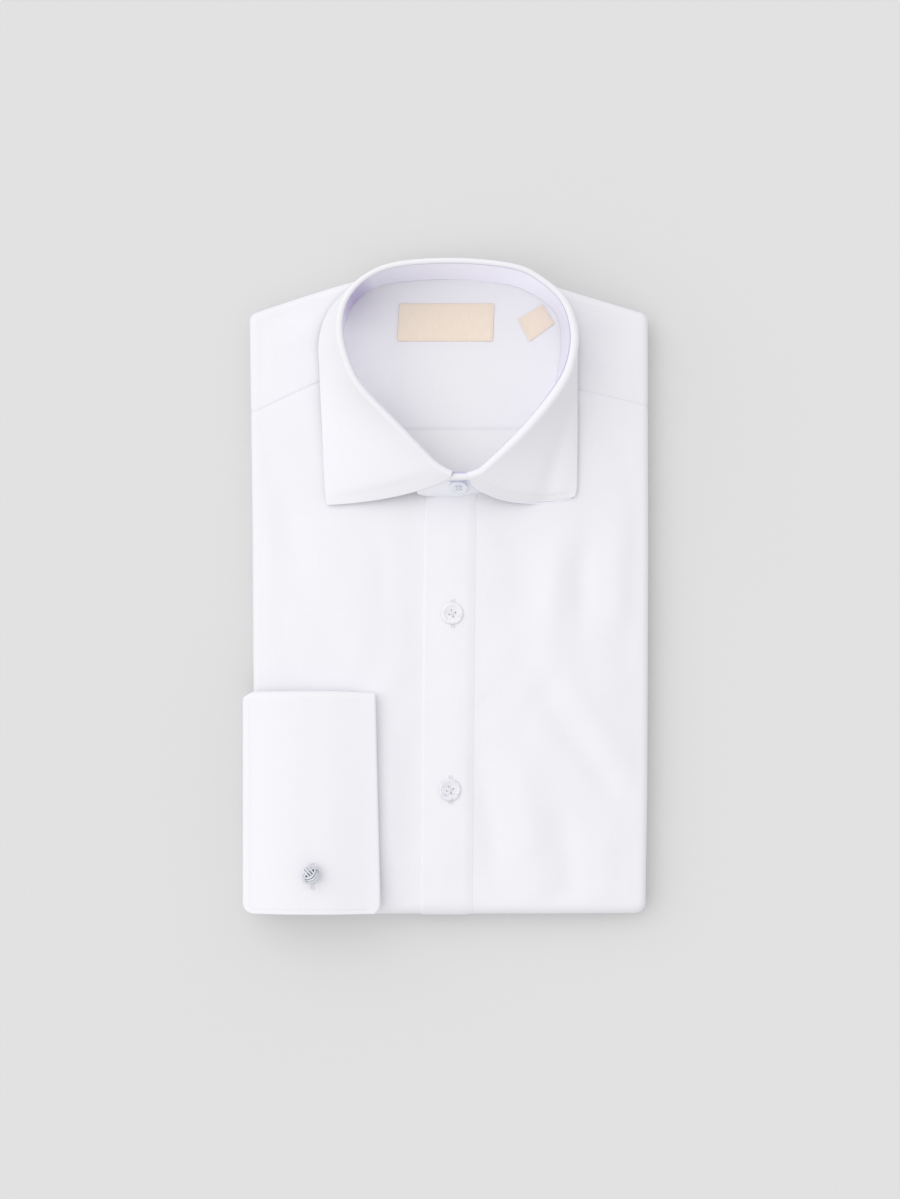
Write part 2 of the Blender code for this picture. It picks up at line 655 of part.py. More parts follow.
def leaf_section(curves, index, seam, up, out):
    """A section of the leaf: up from the stand's top edge, over the fold, and down to the free edge."""
    edge = curves["edge"][index]
    inner, outer = THIN_CLOTH + SEAM_GAP / 2, THIN_CLOTH * 2 + SEAM_GAP * 2 + LEAF_CLOTH / 2
    radius = (outer - inner) / 2
    rise = LEAF_OVER_SEAM / up[2] - radius - LEAF_CLOTH / 2
    section = [seam + out * inner + up * (SEAM_GAP + 0.15)]
    for angle in np.linspace(pi, 0, 5):
        section.append(seam + out * (inner + radius + radius * cos(angle)) + up * (rise + radius * sin(angle)))
    start = section[-1]
    run = edge - start
    drop, run[2] = -run[2], 0
    side = np.array((run[1], -run[0], 0)) / np.linalg.norm(run)
    bow = side * curves["bow"][index] * (-1 if side[1] > 0 else 1)
    hug = curves["hug"][index]
    handles = (
        start,
        start + run * 0.3 + bow - UP * drop * (0.36 + 0.5 * hug),
        start + run * 0.68 + bow - UP * drop * (0.7 + 0.3 * hug),
        edge,
    )
    for t in np.linspace(0, 1, FALL_STEPS + 1)[1:]:
        point = bezier(handles, t)
        if abs(point[0] - MIDDLE_X) < 100 and point[1] < 171:
            point[2] = max(point[2], top(point[0], point[1]) + LEAF_CLOTH / 2 + SEAM_GAP)
        section.append(point)
    return section


def collar_leaf(look):
    curves = collar_curves()
    band = np.asarray(band_grid(curves, 0.3, np.linspace(0, 1, 6)))
    ups = band[:, -1] - band[:, -2]
    ups /= np.linalg.norm(ups, axis=1)[:, None]
    outs = moved_out(band, 1.0)[:, -1] - band[:, -1]
    grid = [leaf_section(curves, index, band[index, -1], ups[index], outs[index]) for index in range(len(band))]
    cloth("collar_leaf", grid, LEAF_CLOTH, look)


# ----------------------------------------------------------------------------------------------------
# Cuff, sleeve and link


def cuff_middle(x):
    """Height of the cuff's middle surface, and its slope down towards the side of the pile."""
    bend = max(0.0, (CUFF_SAG_FROM_X - x) / (CUFF_SAG_FROM_X - CUFF_LEFT_X))
    height = CUFF_UNDERSIDE + CUFF_THICK / 2 - CUFF_SAG * bend**2
    slope = 2 * CUFF_SAG * bend / (CUFF_SAG_FROM_X - CUFF_LEFT_X)
    return height, slope


def cuff(look, plain):
    """A flattened tube, open along its lower edge, each side doubled by the fold at the wrist."""
    half_apart = PLY_APART / 2
    path_radius = (CUFF_THICK - PLY_APART - CUFF_PLY) / 2
    low, high = CUFF_Y
    far = high - CUFF_THICK / 2
    around = [(y, path_radius, 0.0, 1.0) for y in np.linspace(low, far, 7)]
    for angle in np.linspace(0, pi, 7)[1:-1]:
        around.append((far + path_radius * sin(angle), path_radius * cos(angle), sin(angle), cos(angle)))
    around += [(y, -path_radius, 0.0, -1.0) for y in np.linspace(far, low + 1.2, 7)]

    def hairpin(y):
        right = np.interp(y, CUFF_Y, CUFF_RIGHT_X[::-1]) - half_apart - CUFF_PLY / 2
        straight = np.linspace(0, 1, 6)
        line = [(CUFF_LEFT_X + (right - CUFF_LEFT_X) * t, half_apart) for t in straight]
        line += [(right + half_apart * sin(a), half_apart * cos(a)) for a in (pi / 4, pi / 2, 3 * pi / 4)]
        return line + [(CUFF_LEFT_X + (right - CUFF_LEFT_X) * t, -half_apart) for t in straight[::-1]]

    grid = []
    for y, height, out_y, out_z in around:
        row = []
        for x, ply in hairpin(y):
            middle, slope = cuff_middle(x)
            normal = np.array((-slope, 0, 1)) / np.hypot(slope, 1)
            point = np.array((x, y, middle)) + normal * (height + out_z * ply)
            point[1] += out_y * ply
            row.append(point)
        grid.append(row)
    made = cloth("french_cuff", grid, CUFF_PLY, look)
    middle = CUFF_UNDERSIDE + CUFF_THICK / 2
    slit = cutter_box("cuff_slit", (*LINK, middle), (SLIT, CUFF_BUTTONHOLE, 20), plain)
    cut(made, slit, "buttonhole")
    hole = turned_mesh("cuff_hole", ((0, -10), (LINK_HOLE / 2, -10), (LINK_HOLE / 2, 10), (0, 10)), 16)
    eye = add_object("cuff_hole", hole, plain)
    eye.location = Vector((*LINK, middle)) * MM
    cut(made, eye, "shank hole")


def sleeve(look):
    """The flattened sleeve: from the cuff's end down the side of the pile and in under the front's roll."""
    middle, slope = cuff_middle(CUFF_LEFT_X - SEAM_GAP)
    heading = np.arctan(slope)
    place = np.array((CUFF_LEFT_X - SEAM_GAP, middle))
    thin = SLEEVE_THIN
    vertical_x = SLEEVE_OUTER_X + thin / 2
    bend = (place[0] - vertical_x) / (1 - sin(heading))
    stations = [(place, heading)]

    def turn_to(goal, radius, steps):
        nonlocal place, heading
        start = heading
        for step in range(1, steps + 1):
            now = start + (goal - start) * step / steps
            place = place + radius * np.array((sin(heading) - sin(now), cos(now) - cos(heading)))
            heading = now
            stations.append((place, heading))

    def straight(length, steps):
        nonlocal place
        for _ in range(steps):
            place = place + length / steps * np.array((-cos(heading), -sin(heading)))
            stations.append((place, heading))

    turn_to(pi / 2, bend, 5)
    straight(place[1] - SLEEVE_TUCK_Z, 2)
    turn_to(pi, SLEEVE_TUCK_RADIUS, 5)
    straight(SLEEVE_TUCK_RUN, 1)

    grid = []
    wide = np.linspace(0, 2 * pi, 25)[:-1]
    total = len(stations) - 1
    for angle in wide:
        row = []
        for index, ((x, z), way) in enumerate(stations):
            share = index / total
            half = (thin + (CUFF_THICK - thin) * max(0, 1 - share * 2.6) ** 1.5) / 2 - SLEEVE_CLOTH / 2
            low = CUFF_Y[0] + along(SLEEVE_LOWER_TAPER, share)
            high = CUFF_Y[1] - along(SLEEVE_UPPER_TAPER, share)
            flat = (high - low) / 2 - half
            y = (high + low) / 2 + squashed(cos(angle) * STEEPER) * flat + half * cos(angle)
            away = half * squashed(sin(angle) * STEEPER)
            normal = np.array((-sin(way), cos(way)))
            row.append(np.array((x + normal[0] * away, y, z + normal[1] * away)))
        grid.append(row)
    cloth("sleeve", grid, SLEEVE_CLOTH, look, ring=True)


def squashed(value):
    """A sine or cosine held between -1 and 1 after it has been made steeper."""
    return float(np.clip(value, -1, 1))


def link(look):
    """A silk knot on the cuff, the cord through all its plies, and the second knot pressed flat under it."""
    x, y = LINK
    under_top = CUFF_UNDERSIDE - SEAM_GAP
    upper_foot = CUFF_UNDERSIDE + CUFF_THICK + SEAM_GAP
    under_half = (under_top - top(x, y) - KNOT_UNDER_GAP) / 2
    shank = KNOT_CORD / 2
    wide = KNOT_WIDE / 2
    profile = [(0, under_top - 2 * under_half)]
    for angle in np.linspace(-70, 60, 6):
        a = radians(angle)
        profile.append((wide * cos(a), under_top - under_half + under_half * sin(a)))
    profile += [(shank, under_top), (shank, upper_foot)]
    for angle in np.linspace(-60, 70, 8):
        a = radians(angle)
        profile.append((wide * cos(a), upper_foot + KNOT_TALL / 2 + KNOT_TALL / 2 * sin(a)))
    profile.append((0, upper_foot + KNOT_TALL))
    made = add_object("cufflink_knot", turned_mesh("cufflink_knot", profile, 20), look)
    made.location = Vector((x, y, 0)) * MM


# ----------------------------------------------------------------------------------------------------
# Buttons and labels


def button_mesh(name, wide):
    """A button with a raised rim round a dished middle."""
    radius = wide / 2
    profile = (
        (0, 0), (radius * 0.8, 0), (radius, 0.9), (radius, 1.6), (radius * 0.9, 2.3), (radius * 0.74, 2.3),
        (radius * 0.62, 1.7), (0, 1.6),
    )
    return turned_mesh(name, profile, 20)


def button(name, wide, place, look):
    made = add_object(name, button_mesh(name, wide), look)
    made.matrix_world = place
    holes = bpy.data.meshes.new(f"{name}_holes")
    edit = bmesh.new()
    apart = wide * 0.1
    drill = THREAD_HOLE / 2 * MM
    for x in (-apart, apart):
        for y in (-apart, apart):
            spot = Matrix.Translation(Vector((x, y, 1)) * MM)
            bmesh.ops.create_cone(
                edit, cap_ends=True, segments=8, radius1=drill, radius2=drill, depth=6 * MM, matrix=spot
            )
    edit.to_mesh(holes)
    edit.free()
    # The drills stand where the button stands, so they are cutters in its own frame.
    cutter = add_object(f"{name}_holes", holes, look)
    cutter.matrix_world = place
    cut(made, cutter, "thread holes")


def label(name, centre, size, turn, look):
    """A woven label lying on the inner yoke."""
    lift = -BACK_DROP + SEAM_GAP + THIN_CLOTH / 2
    grid = []
    for down in np.linspace(-0.5, 0.5, 4):
        row = []
        for across in np.linspace(-0.5, 0.5, 7):
            x, y = size[0] * across, size[1] * down
            turned = (x * cos(turn) - y * sin(turn), x * sin(turn) + y * cos(turn))
            row.append(on_top(centre[0] + turned[0], centre[1] + turned[1], lift))
        grid.append(row)
    cloth(name, grid, THIN_CLOTH, look)


# ----------------------------------------------------------------------------------------------------


def main():
    for old in list(bpy.data.objects):
        bpy.data.objects.remove(old, do_unlink=True)
    white = material("white cotton", (0.90, 0.90, 0.93), 0.85)
    shade = material("white cotton inside", (0.84, 0.84, 0.88), 0.85)
    lavender = material("lavender cotton", (0.74, 0.74, 0.90), 0.85)
    cream = material("cream label", (0.86, 0.74, 0.63), 0.8)
    pearl = material("pearl button", (0.87, 0.86, 0.87), 0.35)
    silk = material("grey silk cord", (0.50, 0.54, 0.62), 0.5)

    folded_layers(white)
    back(shade)
    fronts(white)
    placket(white, shade)
    yoke(white)
    overlap = collar_band(white, lavender)
    collar_leaf(white)
    cuff(white, shade)
    sleeve(white)
    link(silk)
    lift = SEAM_GAP + PLACKET_CLOTH + BUTTON_SEAT
    for index, (x, y) in enumerate(BUTTONS_XY, 1):
        button(f"front_button_{index}", FRONT_BUTTON, facing((x, y, top(x, y) + lift), (0, 0, 1)), pearl)
    middle = (overlap[2] + overlap[3]) / 2
    run = overlap[3] - overlap[2]
    normal = np.array((0, -run[2], run[1]))
    normal = normal / np.linalg.norm(normal)
    seat = middle + normal * (THIN_CLOTH / 2 + 0.5)
    button("collar_button", COLLAR_BUTTON, facing((COLLAR_BUTTON_X, seat[1], seat[2]), normal), pearl)
    label("neck_label", LABEL_CENTRE, LABEL_SIZE, 0.0, cream)
    label("size_tab", TAB_CENTRE, TAB_SIZE, TAB_TURN, cream)


main()
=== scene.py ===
# %% [markdown]
# # A dress shirt, folded flat
#
# The real thing is one soft object made of many flat pieces: two fronts, a yoke, a back, a collar of two
# parts, a double cuff. Folding turns it into a shallow pile with rolled edges, on which the collar stands up
# and the cuff lies like a plate. Cloth simulation would settle it its own way, so every sheet here is a
# bmesh grid laid on a shape that is described in numbers, and the creases are placed one by one.
#
# Lengths are in millimetres until a mesh is made, because a tailor thinks in them.

from math import atan2, cos, hypot, pi, radians, sin

import bmesh
import bpy
import numpy as np
from mathutils import Matrix, Vector


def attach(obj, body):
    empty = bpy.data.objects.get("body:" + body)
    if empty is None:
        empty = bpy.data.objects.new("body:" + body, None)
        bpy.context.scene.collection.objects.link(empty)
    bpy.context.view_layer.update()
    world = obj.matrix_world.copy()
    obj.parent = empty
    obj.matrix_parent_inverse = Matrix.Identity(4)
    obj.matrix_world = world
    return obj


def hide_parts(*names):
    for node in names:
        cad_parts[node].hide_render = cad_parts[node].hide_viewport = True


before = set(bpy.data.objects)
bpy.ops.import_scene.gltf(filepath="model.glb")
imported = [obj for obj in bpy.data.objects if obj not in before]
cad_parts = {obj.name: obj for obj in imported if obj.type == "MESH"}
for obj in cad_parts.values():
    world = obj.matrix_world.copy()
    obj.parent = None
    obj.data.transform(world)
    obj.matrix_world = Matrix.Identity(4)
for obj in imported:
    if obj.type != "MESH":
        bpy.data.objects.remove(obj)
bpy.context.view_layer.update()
MM = 0.001
UP = np.array((0.0, 0.0, 1.0))
print("nodes:", ", ".join(sorted(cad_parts)))

# %% [markdown]
# ## Camera, floor and light
#
# The shirt is seen from straight above. A long lens from 1.5 m keeps the collar, which stands 54 mm tall,
# from leaning outwards. A very wide sun at the upper left gives the cloth its slopes, and a bright even sky
# fills the rest, so that shadows stay pale and short. Unlike a near lamp, a sun lights the whole floor alike.

# %% Camera, floor and light
CAMERA_PLACE = (2.4, -4.7, 1500.0)
VIEW_TALL = 658.0  # height of the floor that the picture shows
SENSOR = 36.0

camera_data = bpy.data.cameras.new("camera")
camera_data.sensor_width = SENSOR
camera_data.lens = SENSOR * CAMERA_PLACE[2] / VIEW_TALL
camera = bpy.data.objects.new("camera", camera_data)
camera.location = Vector(CAMERA_PLACE) * MM
bpy.context.scene.collection.objects.link(camera)
bpy.context.scene.camera = camera
bpy.context.scene.view_settings.view_transform = "Standard"


def sun(name, comes_from, wide, strength):
    """A sun whose disc is `wide` degrees across, so that it throws soft shadows."""
    data = bpy.data.lights.new(name, "SUN")
    data.angle, data.energy = radians(wide), strength
    made = bpy.data.objects.new(name, data)
    made.rotation_mode = "QUATERNION"
    made.rotation_quaternion = Vector(comes_from).to_track_quat("Z", "Y")
    bpy.context.scene.collection.objects.link(made)


KEY_FROM = (-0.65, 0.38, 1.0)
KEY_WIDE = 80
KEY_STRENGTH = 1.12
SKY = 0.76
sun("key", KEY_FROM, KEY_WIDE, KEY_STRENGTH)
sky = bpy.data.worlds.new("sky")
sky.use_nodes = True
sky.node_tree.nodes["Background"].inputs["Color"].default_value = (1, 1, 1, 1)
sky.node_tree.nodes["Background"].inputs["Strength"].default_value = SKY
bpy.context.scene.world = sky
print(f"lens {camera_data.lens:.1f} mm")

# %% [markdown]
# ## Shader arithmetic
#
# Weave, slubs and pearl are sums and products of a few textures. Wiring dozens of Math nodes by hand hides
# that, so a small class wraps a socket and lets Python's own operators add the nodes.

# %% A socket that can be added and multiplied


class Value:
    """One output socket of a material. Arithmetic on it adds Math nodes and gives a new Value."""

    def __init__(self, tree, socket):
        self.tree, self.socket = tree, socket

    def of(self, operation, *others):
        made = node(self.tree, "ShaderNodeMath", {"operation": operation}, [self, *others])
        return Value(self.tree, made.outputs[0])

    def __add__(self, other):
        return self.of("ADD", other)

    def __mul__(self, other):
        return self.of("MULTIPLY", other)

    def __sub__(self, other):
        return self.of("SUBTRACT", other)

    def __rsub__(self, other):
        made = node(self.tree, "ShaderNodeMath", {"operation": "SUBTRACT"}, [other, self])
        return Value(self.tree, made.outputs[0])

    def sine(self):
        return self.of("SINE")

    def clamped(self):
        return self.of("MAXIMUM", 0.0).of("MINIMUM", 1.0)

    __radd__, __rmul__ = __add__, __mul__


def node(tree, kind, settings=None, inputs=()):
    """A node with its settings made first, then its sockets filled by place or name with values or links."""
    made = tree.nodes.new(kind)
    for name, value in (settings or {}).items():
        setattr(made, name, value)
    for name, value in inputs.items() if isinstance(inputs, dict) else enumerate(inputs):
        if isinstance(value, Value):
            tree.links.new(value.socket, made.inputs[name])
        else:
            made.inputs[name].default_value = value
    return made


def finish_of(name, roughness, sheen=0.0, coat=0.0, subsurface=0.0):
    """A new material with its fixed numbers set on the shader itself, and the tree to add patterns to."""
    made = bpy.data.materials.new(name)
    made.use_nodes = True
    shader = made.node_tree.nodes["Principled BSDF"]
    fixed = {"Roughness": roughness, "Sheen Weight": sheen, "Coat Weight": coat}
    fixed |= {"Subsurface Weight": subsurface, "Sheen Roughness": 0.45, "Specular IOR Level": 0.35}
    for socket, value in fixed.items():
        shader.inputs[socket].default_value = value
    return made, made.node_tree, shader


def blended(tree, factor, first, second):
    """A colour between two colours."""
    mixer = node(tree, "ShaderNodeMix", {"data_type": "RGBA"})
    tree.links.new(factor.socket, mixer.inputs[0])
    mixer.inputs[6].default_value, mixer.inputs[7].default_value = (*first, 1), (*second, 1)
    return Value(tree, mixer.outputs[2])


def noise(tree, place, scale, detail=2.0, stretch=(1, 1, 1)):
    """Smooth noise from 0 to 1 whose bumps are about 1/scale metres apart."""
    mapped = node(tree, "ShaderNodeMapping", {}, {"Vector": place, "Scale": stretch})
    inputs = {"Vector": Value(tree, mapped.outputs[0]), "Scale": scale, "Detail": detail}
    return Value(tree, node(tree, "ShaderNodeTexNoise", {}, inputs).outputs[0])


def bumped(tree, shader, height, depth):
    """Feeds a height from 0 to 1 into the shader's normal, as relief of a depth in millimetres."""
    bump = node(tree, "ShaderNodeBump", {}, {"Height": height, "Distance": depth * MM, "Strength": 1.0})
    tree.links.new(bump.outputs[0], shader.inputs["Normal"])


# %% [markdown]
# ## Cloth
#
# Fine shirting is a plain weave: each thread goes over one and under the next. Seen close, that is a
# checkerboard of tiny pillows, which the product of two sine waves draws well enough. The threads follow the
# cloth, so the pattern reads the sheet's own UV map, which holds real metres. Now and then a thread is
# thicker, a slub, so noise stretched along each thread direction changes the tone and the height a little.

# %% Woven cotton
THREAD = 0.42  # from one thread to the next
WEAVE_DEPTH = 0.035
COTTON_ROUGHNESS, COTTON_SHEEN = 0.85, 0.25
SLUB_NOISE, SLUB_STRETCH = 55, 28
HAND_NOISE = 95


def object_place(tree):
    """A point's place in the shirt, in metres."""
    return Value(tree, node(tree, "ShaderNodeTexCoord").outputs["Object"])


def cloth_place(tree):
    """A point's place on its own sheet of cloth, in metres."""
    return Value(tree, node(tree, "ShaderNodeUVMap", {"uv_map": "cloth"}).outputs[0])


def x_and_y(tree, place):
    split = node(tree, "ShaderNodeSeparateXYZ", {}, [place])
    return Value(tree, split.outputs[0]), Value(tree, split.outputs[1])


def woven(name, light, dark, hand=0.16):
    """Plain weave between two tones. hand is the depth in millimetres of the cloth's soft unevenness."""
    made, tree, shader = finish_of(name, COTTON_ROUGHNESS, COTTON_SHEEN)
    place = cloth_place(tree)
    across, down = x_and_y(tree, place)
    warp = (across * (pi / (THREAD * MM))).sine()
    weft = (down * (pi / (THREAD * MM))).sine()
    pillows = warp * weft * 0.5 + 0.5
    warp_slubs = noise(tree, place, SLUB_NOISE, 1.0, (SLUB_STRETCH, 1, 1))
    weft_slubs = noise(tree, place, SLUB_NOISE, 1.0, (1, SLUB_STRETCH, 1))
    slubs = (warp_slubs + weft_slubs) * 0.5
    soft_hand = noise(tree, place, HAND_NOISE, 2.5)
    tone = (slubs * 1.3 + pillows * 0.12 - 0.2).clamped()
    tree.links.new(blended(tree, tone, dark, light).socket, shader.inputs["Base Color"])
    bumped(tree, shader, pillows * 0.4 + slubs * 0.6 + soft_hand * (hand / WEAVE_DEPTH), WEAVE_DEPTH)
    return made


WHITE = woven("white cotton", (0.872, 0.863, 0.902), (0.842, 0.833, 0.875))
# The two inside cloths are a little darker and greyer than the fronts' white: painted shade inside the neck.
YOKE_INSIDE = woven("white cotton two plies", (0.858, 0.853, 0.872), (0.828, 0.823, 0.842), hand=0.07)
BACK_INSIDE = woven("white cotton single ply", (0.862, 0.859, 0.862), (0.830, 0.827, 0.830), hand=0.07)
FUSED = woven("white cotton fused", (0.878, 0.870, 0.908), (0.852, 0.843, 0.884), hand=0.07)
# Lighter, bluer white on the stand: painted light against the shade that the leaf throws on it.
STAND_PAINTED_LIGHTER = woven("white cotton stand, painted lighter", (0.915, 0.912, 0.968), (0.888, 0.885, 0.944), hand=0.05)
LAVENDER = woven("lavender cotton", (0.84, 0.828, 0.912), (0.79, 0.778, 0.88), hand=0.07)

# %% [markdown]
# ## Painted light
#
# A little light at the back and at the left of the neck, and one violet shade in its back corner, are painted
# on the lining, and fainter light on the inner yoke. They are a trick for the view from above and no property
# of the cloth: they keep their place when the lamps change, and from the side the shade shows as a stripe.

# %% Painted light and shade
GLOW_COLOUR = (0.90, 0.885, 0.97)
LINING_GLOW, YOKE_GLOW = 0.22, 0.05
SHADE_PLACE, SHADE_WIDE = (-50.5, 156.5), 15
SHADE_TINT = (0.64, 0.57, 0.77)


def ramp(value, none, full):
    """0 where a place is `none` millimetres, 1 where it is `full`, and clamped beyond."""
    return ((value - none * MM) * (1 / ((full - none) * MM))).clamped()


def glowing(look, strength):
    """Paints light at the back and at the left of the neck."""
    tree = look.node_tree
    x, y = x_and_y(tree, object_place(tree))
    left = ramp(x, -24, -44) * ramp(y, 157.14, 139.29) * ramp(y, 90, 110)
    back = ramp(x + y * 2, 280, 380) * ramp(y, 140, 165)
    shader = tree.nodes["Principled BSDF"]
    glow = blended(tree, left + back, (0, 0, 0), GLOW_COLOUR)
    tree.links.new(glow.socket, shader.inputs["Emission Color"])
    shader.inputs["Emission Strength"].default_value = strength


def deeper(look, middle, wide, tint):
    """Paints a soft round shade, `wide` millimetres in radius, over a cloth's colour."""
    tree = look.node_tree
    x, y = x_and_y(tree, object_place(tree))
    aside = (x - middle[0] * MM) * (1 / (wide * MM))
    away = (y - middle[1] * MM) * (1 / (wide * MM))
    spot = (1 - (aside * aside + away * away)).clamped()
    colour = tree.nodes["Principled BSDF"].inputs["Base Color"]
    mixing = {"data_type": "RGBA", "blend_type": "MULTIPLY"}
    mixer = node(tree, "ShaderNodeMix", mixing, {0: spot, 7: (*tint, 1)})
    tree.links.new(colour.links[0].from_socket, mixer.inputs[6])
    tree.links.new(mixer.outputs[2], colour)


deeper(LAVENDER, SHADE_PLACE, SHADE_WIDE, SHADE_TINT)
glowing(LAVENDER, LINING_GLOW)
glowing(YOKE_INSIDE, YOKE_GLOW)
EDGE = woven("lavender cotton edge", (0.54, 0.51, 0.71), (0.48, 0.45, 0.65), hand=0.02)
print("cloths:", ", ".join(look.name for look in bpy.data.materials))

# %% [markdown]
# ## The pile's shape
#
# Everything lies on one low dome: the flat top of the pile, highest in the middle, with rolled edges round
# it. Two tables give the outermost line of each side, one gives the shoulders, and every cloth above asks the
# same function how high the dome is, so that layers follow each other.

# %% The dome and its edges
SIDE_LEFT = ((-176, -104.6), (-60, -104.7), (30, -105.2), (150, -106.8))  # y, x
SIDE_RIGHT = ((-176, 108.9), (-110, 110.0), (20, 110.5), (150, 110.2))  # y, x
TOP_EDGE = (  # x, y: shoulder slopes and the back neck between them
    (-106, 150.6), (-75, 160.6), (-50, 168.2), (-25, 173.2), (5, 174.8),
    (32, 173.2), (50, 168.2), (80, 159.0), (109.6, 150.6),
)
BOTTOM_EDGE_Y = -175.8
EDGE_HEIGHT = 14.5  # top of the cloth where a side roll starts
CROWN_HEIGHT = 23.0  # top of the cloth in the middle
END_SHARE = 0.35  # how much of the crown is left at the top and bottom ends
SIDE_ROLL = 4.5  # radius of the folded edge at the sides and the shoulders
BOTTOM_ROLL = 6.5
ROLL_START, ROLL_END = radians(10), radians(150)
CORNER_ROUND = 1.5
HALF_WIDE, HALF_LONG, MIDDLE_Y = 104.0, 170.0, -2.0


def along(table, value):
    """The table's second column where its first column is value."""
    places, results = zip(*table)
    return float(np.interp(value, places, results))


def reach(radius):
    """How far a rolled edge stands out past the rim of the flat top."""
    return radius * (1 - sin(ROLL_START))


def side_x(y, side):
    """The rim of the flat top at the left (-1) or the right (+1)."""
    return along(SIDE_LEFT, y) + reach(SIDE_ROLL) if side < 0 else along(SIDE_RIGHT, y) - reach(SIDE_ROLL)


BOTTOM_Y = BOTTOM_EDGE_Y + reach(BOTTOM_ROLL)
MIDDLE_X = (SIDE_LEFT[0][1] + SIDE_RIGHT[0][1]) / 2
MIDDLE = np.array((MIDDLE_X, MIDDLE_Y))


def dome(x, y):
    """Height of the cloth's upper face over the pile, without its creases."""
    across = min(abs((x - MIDDLE_X) / HALF_WIDE), 1.0) ** 3
    lengthways = min(abs((y - MIDDLE_Y) / HALF_LONG), 1.0) ** 3
    share = (1 - across) * (END_SHARE + (1 - END_SHARE) * (1 - lengthways))
    return EDGE_HEIGHT + (CROWN_HEIGHT - EDGE_HEIGHT) * share


def smooth(value, low, high):
    """0 below low, 1 above high and a soft step between them."""
    t = min(max((value - low) / (high - low), 0.0), 1.0)
    return t * t * (3 - 2 * t)


print(f"the dome is {dome(*MIDDLE):.1f} mm tall in the middle, {dome(side_x(0, -1), 0):.1f} mm at its sides")

# %% [markdown]
# ## Creases
#
# Pressed cotton keeps only a few soft marks: long shallow troughs where it was folded and lifted, low ridges
# where it puffs up between them. Each is a short line of points with a width and a height, and the cloth is
# raised by a bell curve across it. A negative height is a trough.

# %% Creases of the two fronts
HAND = 0.26  # how much the whole cloth undulates
CREASES = (  # points, half width, height
    (((-92, 70), (-84, 30), (-74, 2)), 7.5, -1.9),
    (((-99, 60), (-97, 0), (-96, -40)), 5.0, 0.9),
    (((-12.5, 60), (-12.5, 0), (-13, -90), (-13.5, -185)), 11.0, -1.7),
    (((-60, 34), (-50, -20), (-44, -50)), 10.0, 1.1),
    (((-40, 44), (-34, 10), (-32, -20)), 6.0, -0.8),
    (((38, 44), (41, 10), (40, -34)), 11.0, -1.9),
    (((60, 40), (58, 0), (54, -40)), 6.5, 1.0),
    (((77, 44), (74, 4), (75, -30)), 7.0, -2.1),
    (((93, 48), (94, 2), (92, -30)), 6.0, 1.1),
    (((40, -36), (62, -70), (85, -101), (97, -120)), 7.0, -2.0),
    (((54, -30), (80, -72), (100, -98)), 7.5, 1.4),
    (((14, -70), (22, -110), (30, -182)), 7.5, -1.8),
    (((34, -80), (44, -120), (52, -182)), 8.0, 1.3),
    (((60, -110), (66, -140), (70, -182)), 7.0, -1.3),
    (((84, -120), (88, -150), (86, -180)), 7.0, 0.8),
    (((-33, -56), (-30.5, -120), (-29, -168)), 6.5, 1.1),
    (((14, 52), (18, 49)), 3.0, 0.8),
    (((88, 118), (96, 112)), 3.0, -0.5),
    (((-64, 118), (-62, 108)), 2.2, 0.8),
    (((62, 106), (78, 103)), 2.6, 0.8),
    (((72, 142), (86, 134), (102, 128)), 8.0, -1.2),
    (((-98, 130), (-80, 140), (-64, 148)), 8.0, 0.7),
    (((80, 92), (92, 80), (100, 60)), 7.0, -0.9),
)


def from_line(x, y, points):
    """Distance from a chain of points, and how far along it the nearest point lies, from 0 to 1."""
    nearest, where = 1e9, 0.0
    for index, ((ax, ay), (bx, by)) in enumerate(zip(points, points[1:])):
        run_x, run_y = bx - ax, by - ay
        share = ((x - ax) * run_x + (y - ay) * run_y) / (run_x**2 + run_y**2)
        share = min(max(share, 0.0), 1.0)
        away = hypot(x - ax - run_x * share, y - ay - run_y * share)
        if away < nearest:
            nearest, where = away, (index + share) / (len(points) - 1)
    return nearest, where


def creased(x, y):
    """How far the creases raise the cloth. Each one fades out towards both of its ends."""
    rise = 0.0
    for points, half_wide, height in CREASES:
        away, where = from_line(x, y, points)
        if away < 3 * half_wide:
            fade = 0.12 + 0.88 * smooth(min(where, 1 - where), 0.0, 0.4)
            rise += height * fade * np.exp(-((away / half_wide) ** 2))
    waves = sin(x / 6.1 + 1.7 * sin(y / 17)) * sin(y / 10.3 + 1.3 * sin(x / 13)) + sin((x + y) / 15.5)
    return rise + HAND * waves


def top(x, y):
    """Height of the fronts' and the yoke's upper face."""
    flat = smooth(y, BOTTOM_Y, BOTTOM_Y + 6) * smooth(HALF_WIDE - abs(x - MIDDLE_X), 1, 7)
    return dome(x, y) + creased(x, y) * flat


def on_top(x, y, lift):
    return np.array((x, y, top(x, y) + lift))


def on_roll(rim, outward, radius, angle, lift):
    """A point of a rolled edge, from ROLL_START at the flat top's rim to ROLL_END where it is tucked in."""
    swing = np.array((outward[0], outward[1], 0.0))
    start = np.array((rim[0], rim[1], dome(rim[0], rim[1])))
    centre = start - radius * (sin(ROLL_START) * swing + cos(ROLL_START) * UP)
    return centre + (radius + lift) * (sin(angle) * swing + cos(angle) * UP)


def roll_angles(steps):
    return np.linspace(ROLL_START, ROLL_END, steps + 1)[1:]


# %% [markdown]
# ## Laying a sheet
#
# A sheet of cloth starts as a bmesh grid of square cells. Each of its points is then laid on the point of the
# shape with the same row and column. The grid's own lines give the UV map in real metres, so the weave keeps
# its size. Solidify gives the cloth its thickness and one level of subdivision rounds its cut edges into the
# soft fold that a sewn edge has.

# %% A grid laid on a shape
CLOTH = 0.8  # thickness of the shown cloth


def lengths_along(points):
    """Length from the first point of a chain to each of its points."""
    return np.concatenate(([0], np.cumsum(np.linalg.norm(np.diff(points, axis=0), axis=1))))


def mesh_of(name, edit):
    """The plain mesh of a finished bmesh."""
    mesh = bpy.data.meshes.new(name)
    edit.to_mesh(mesh)
    edit.free()
    return mesh


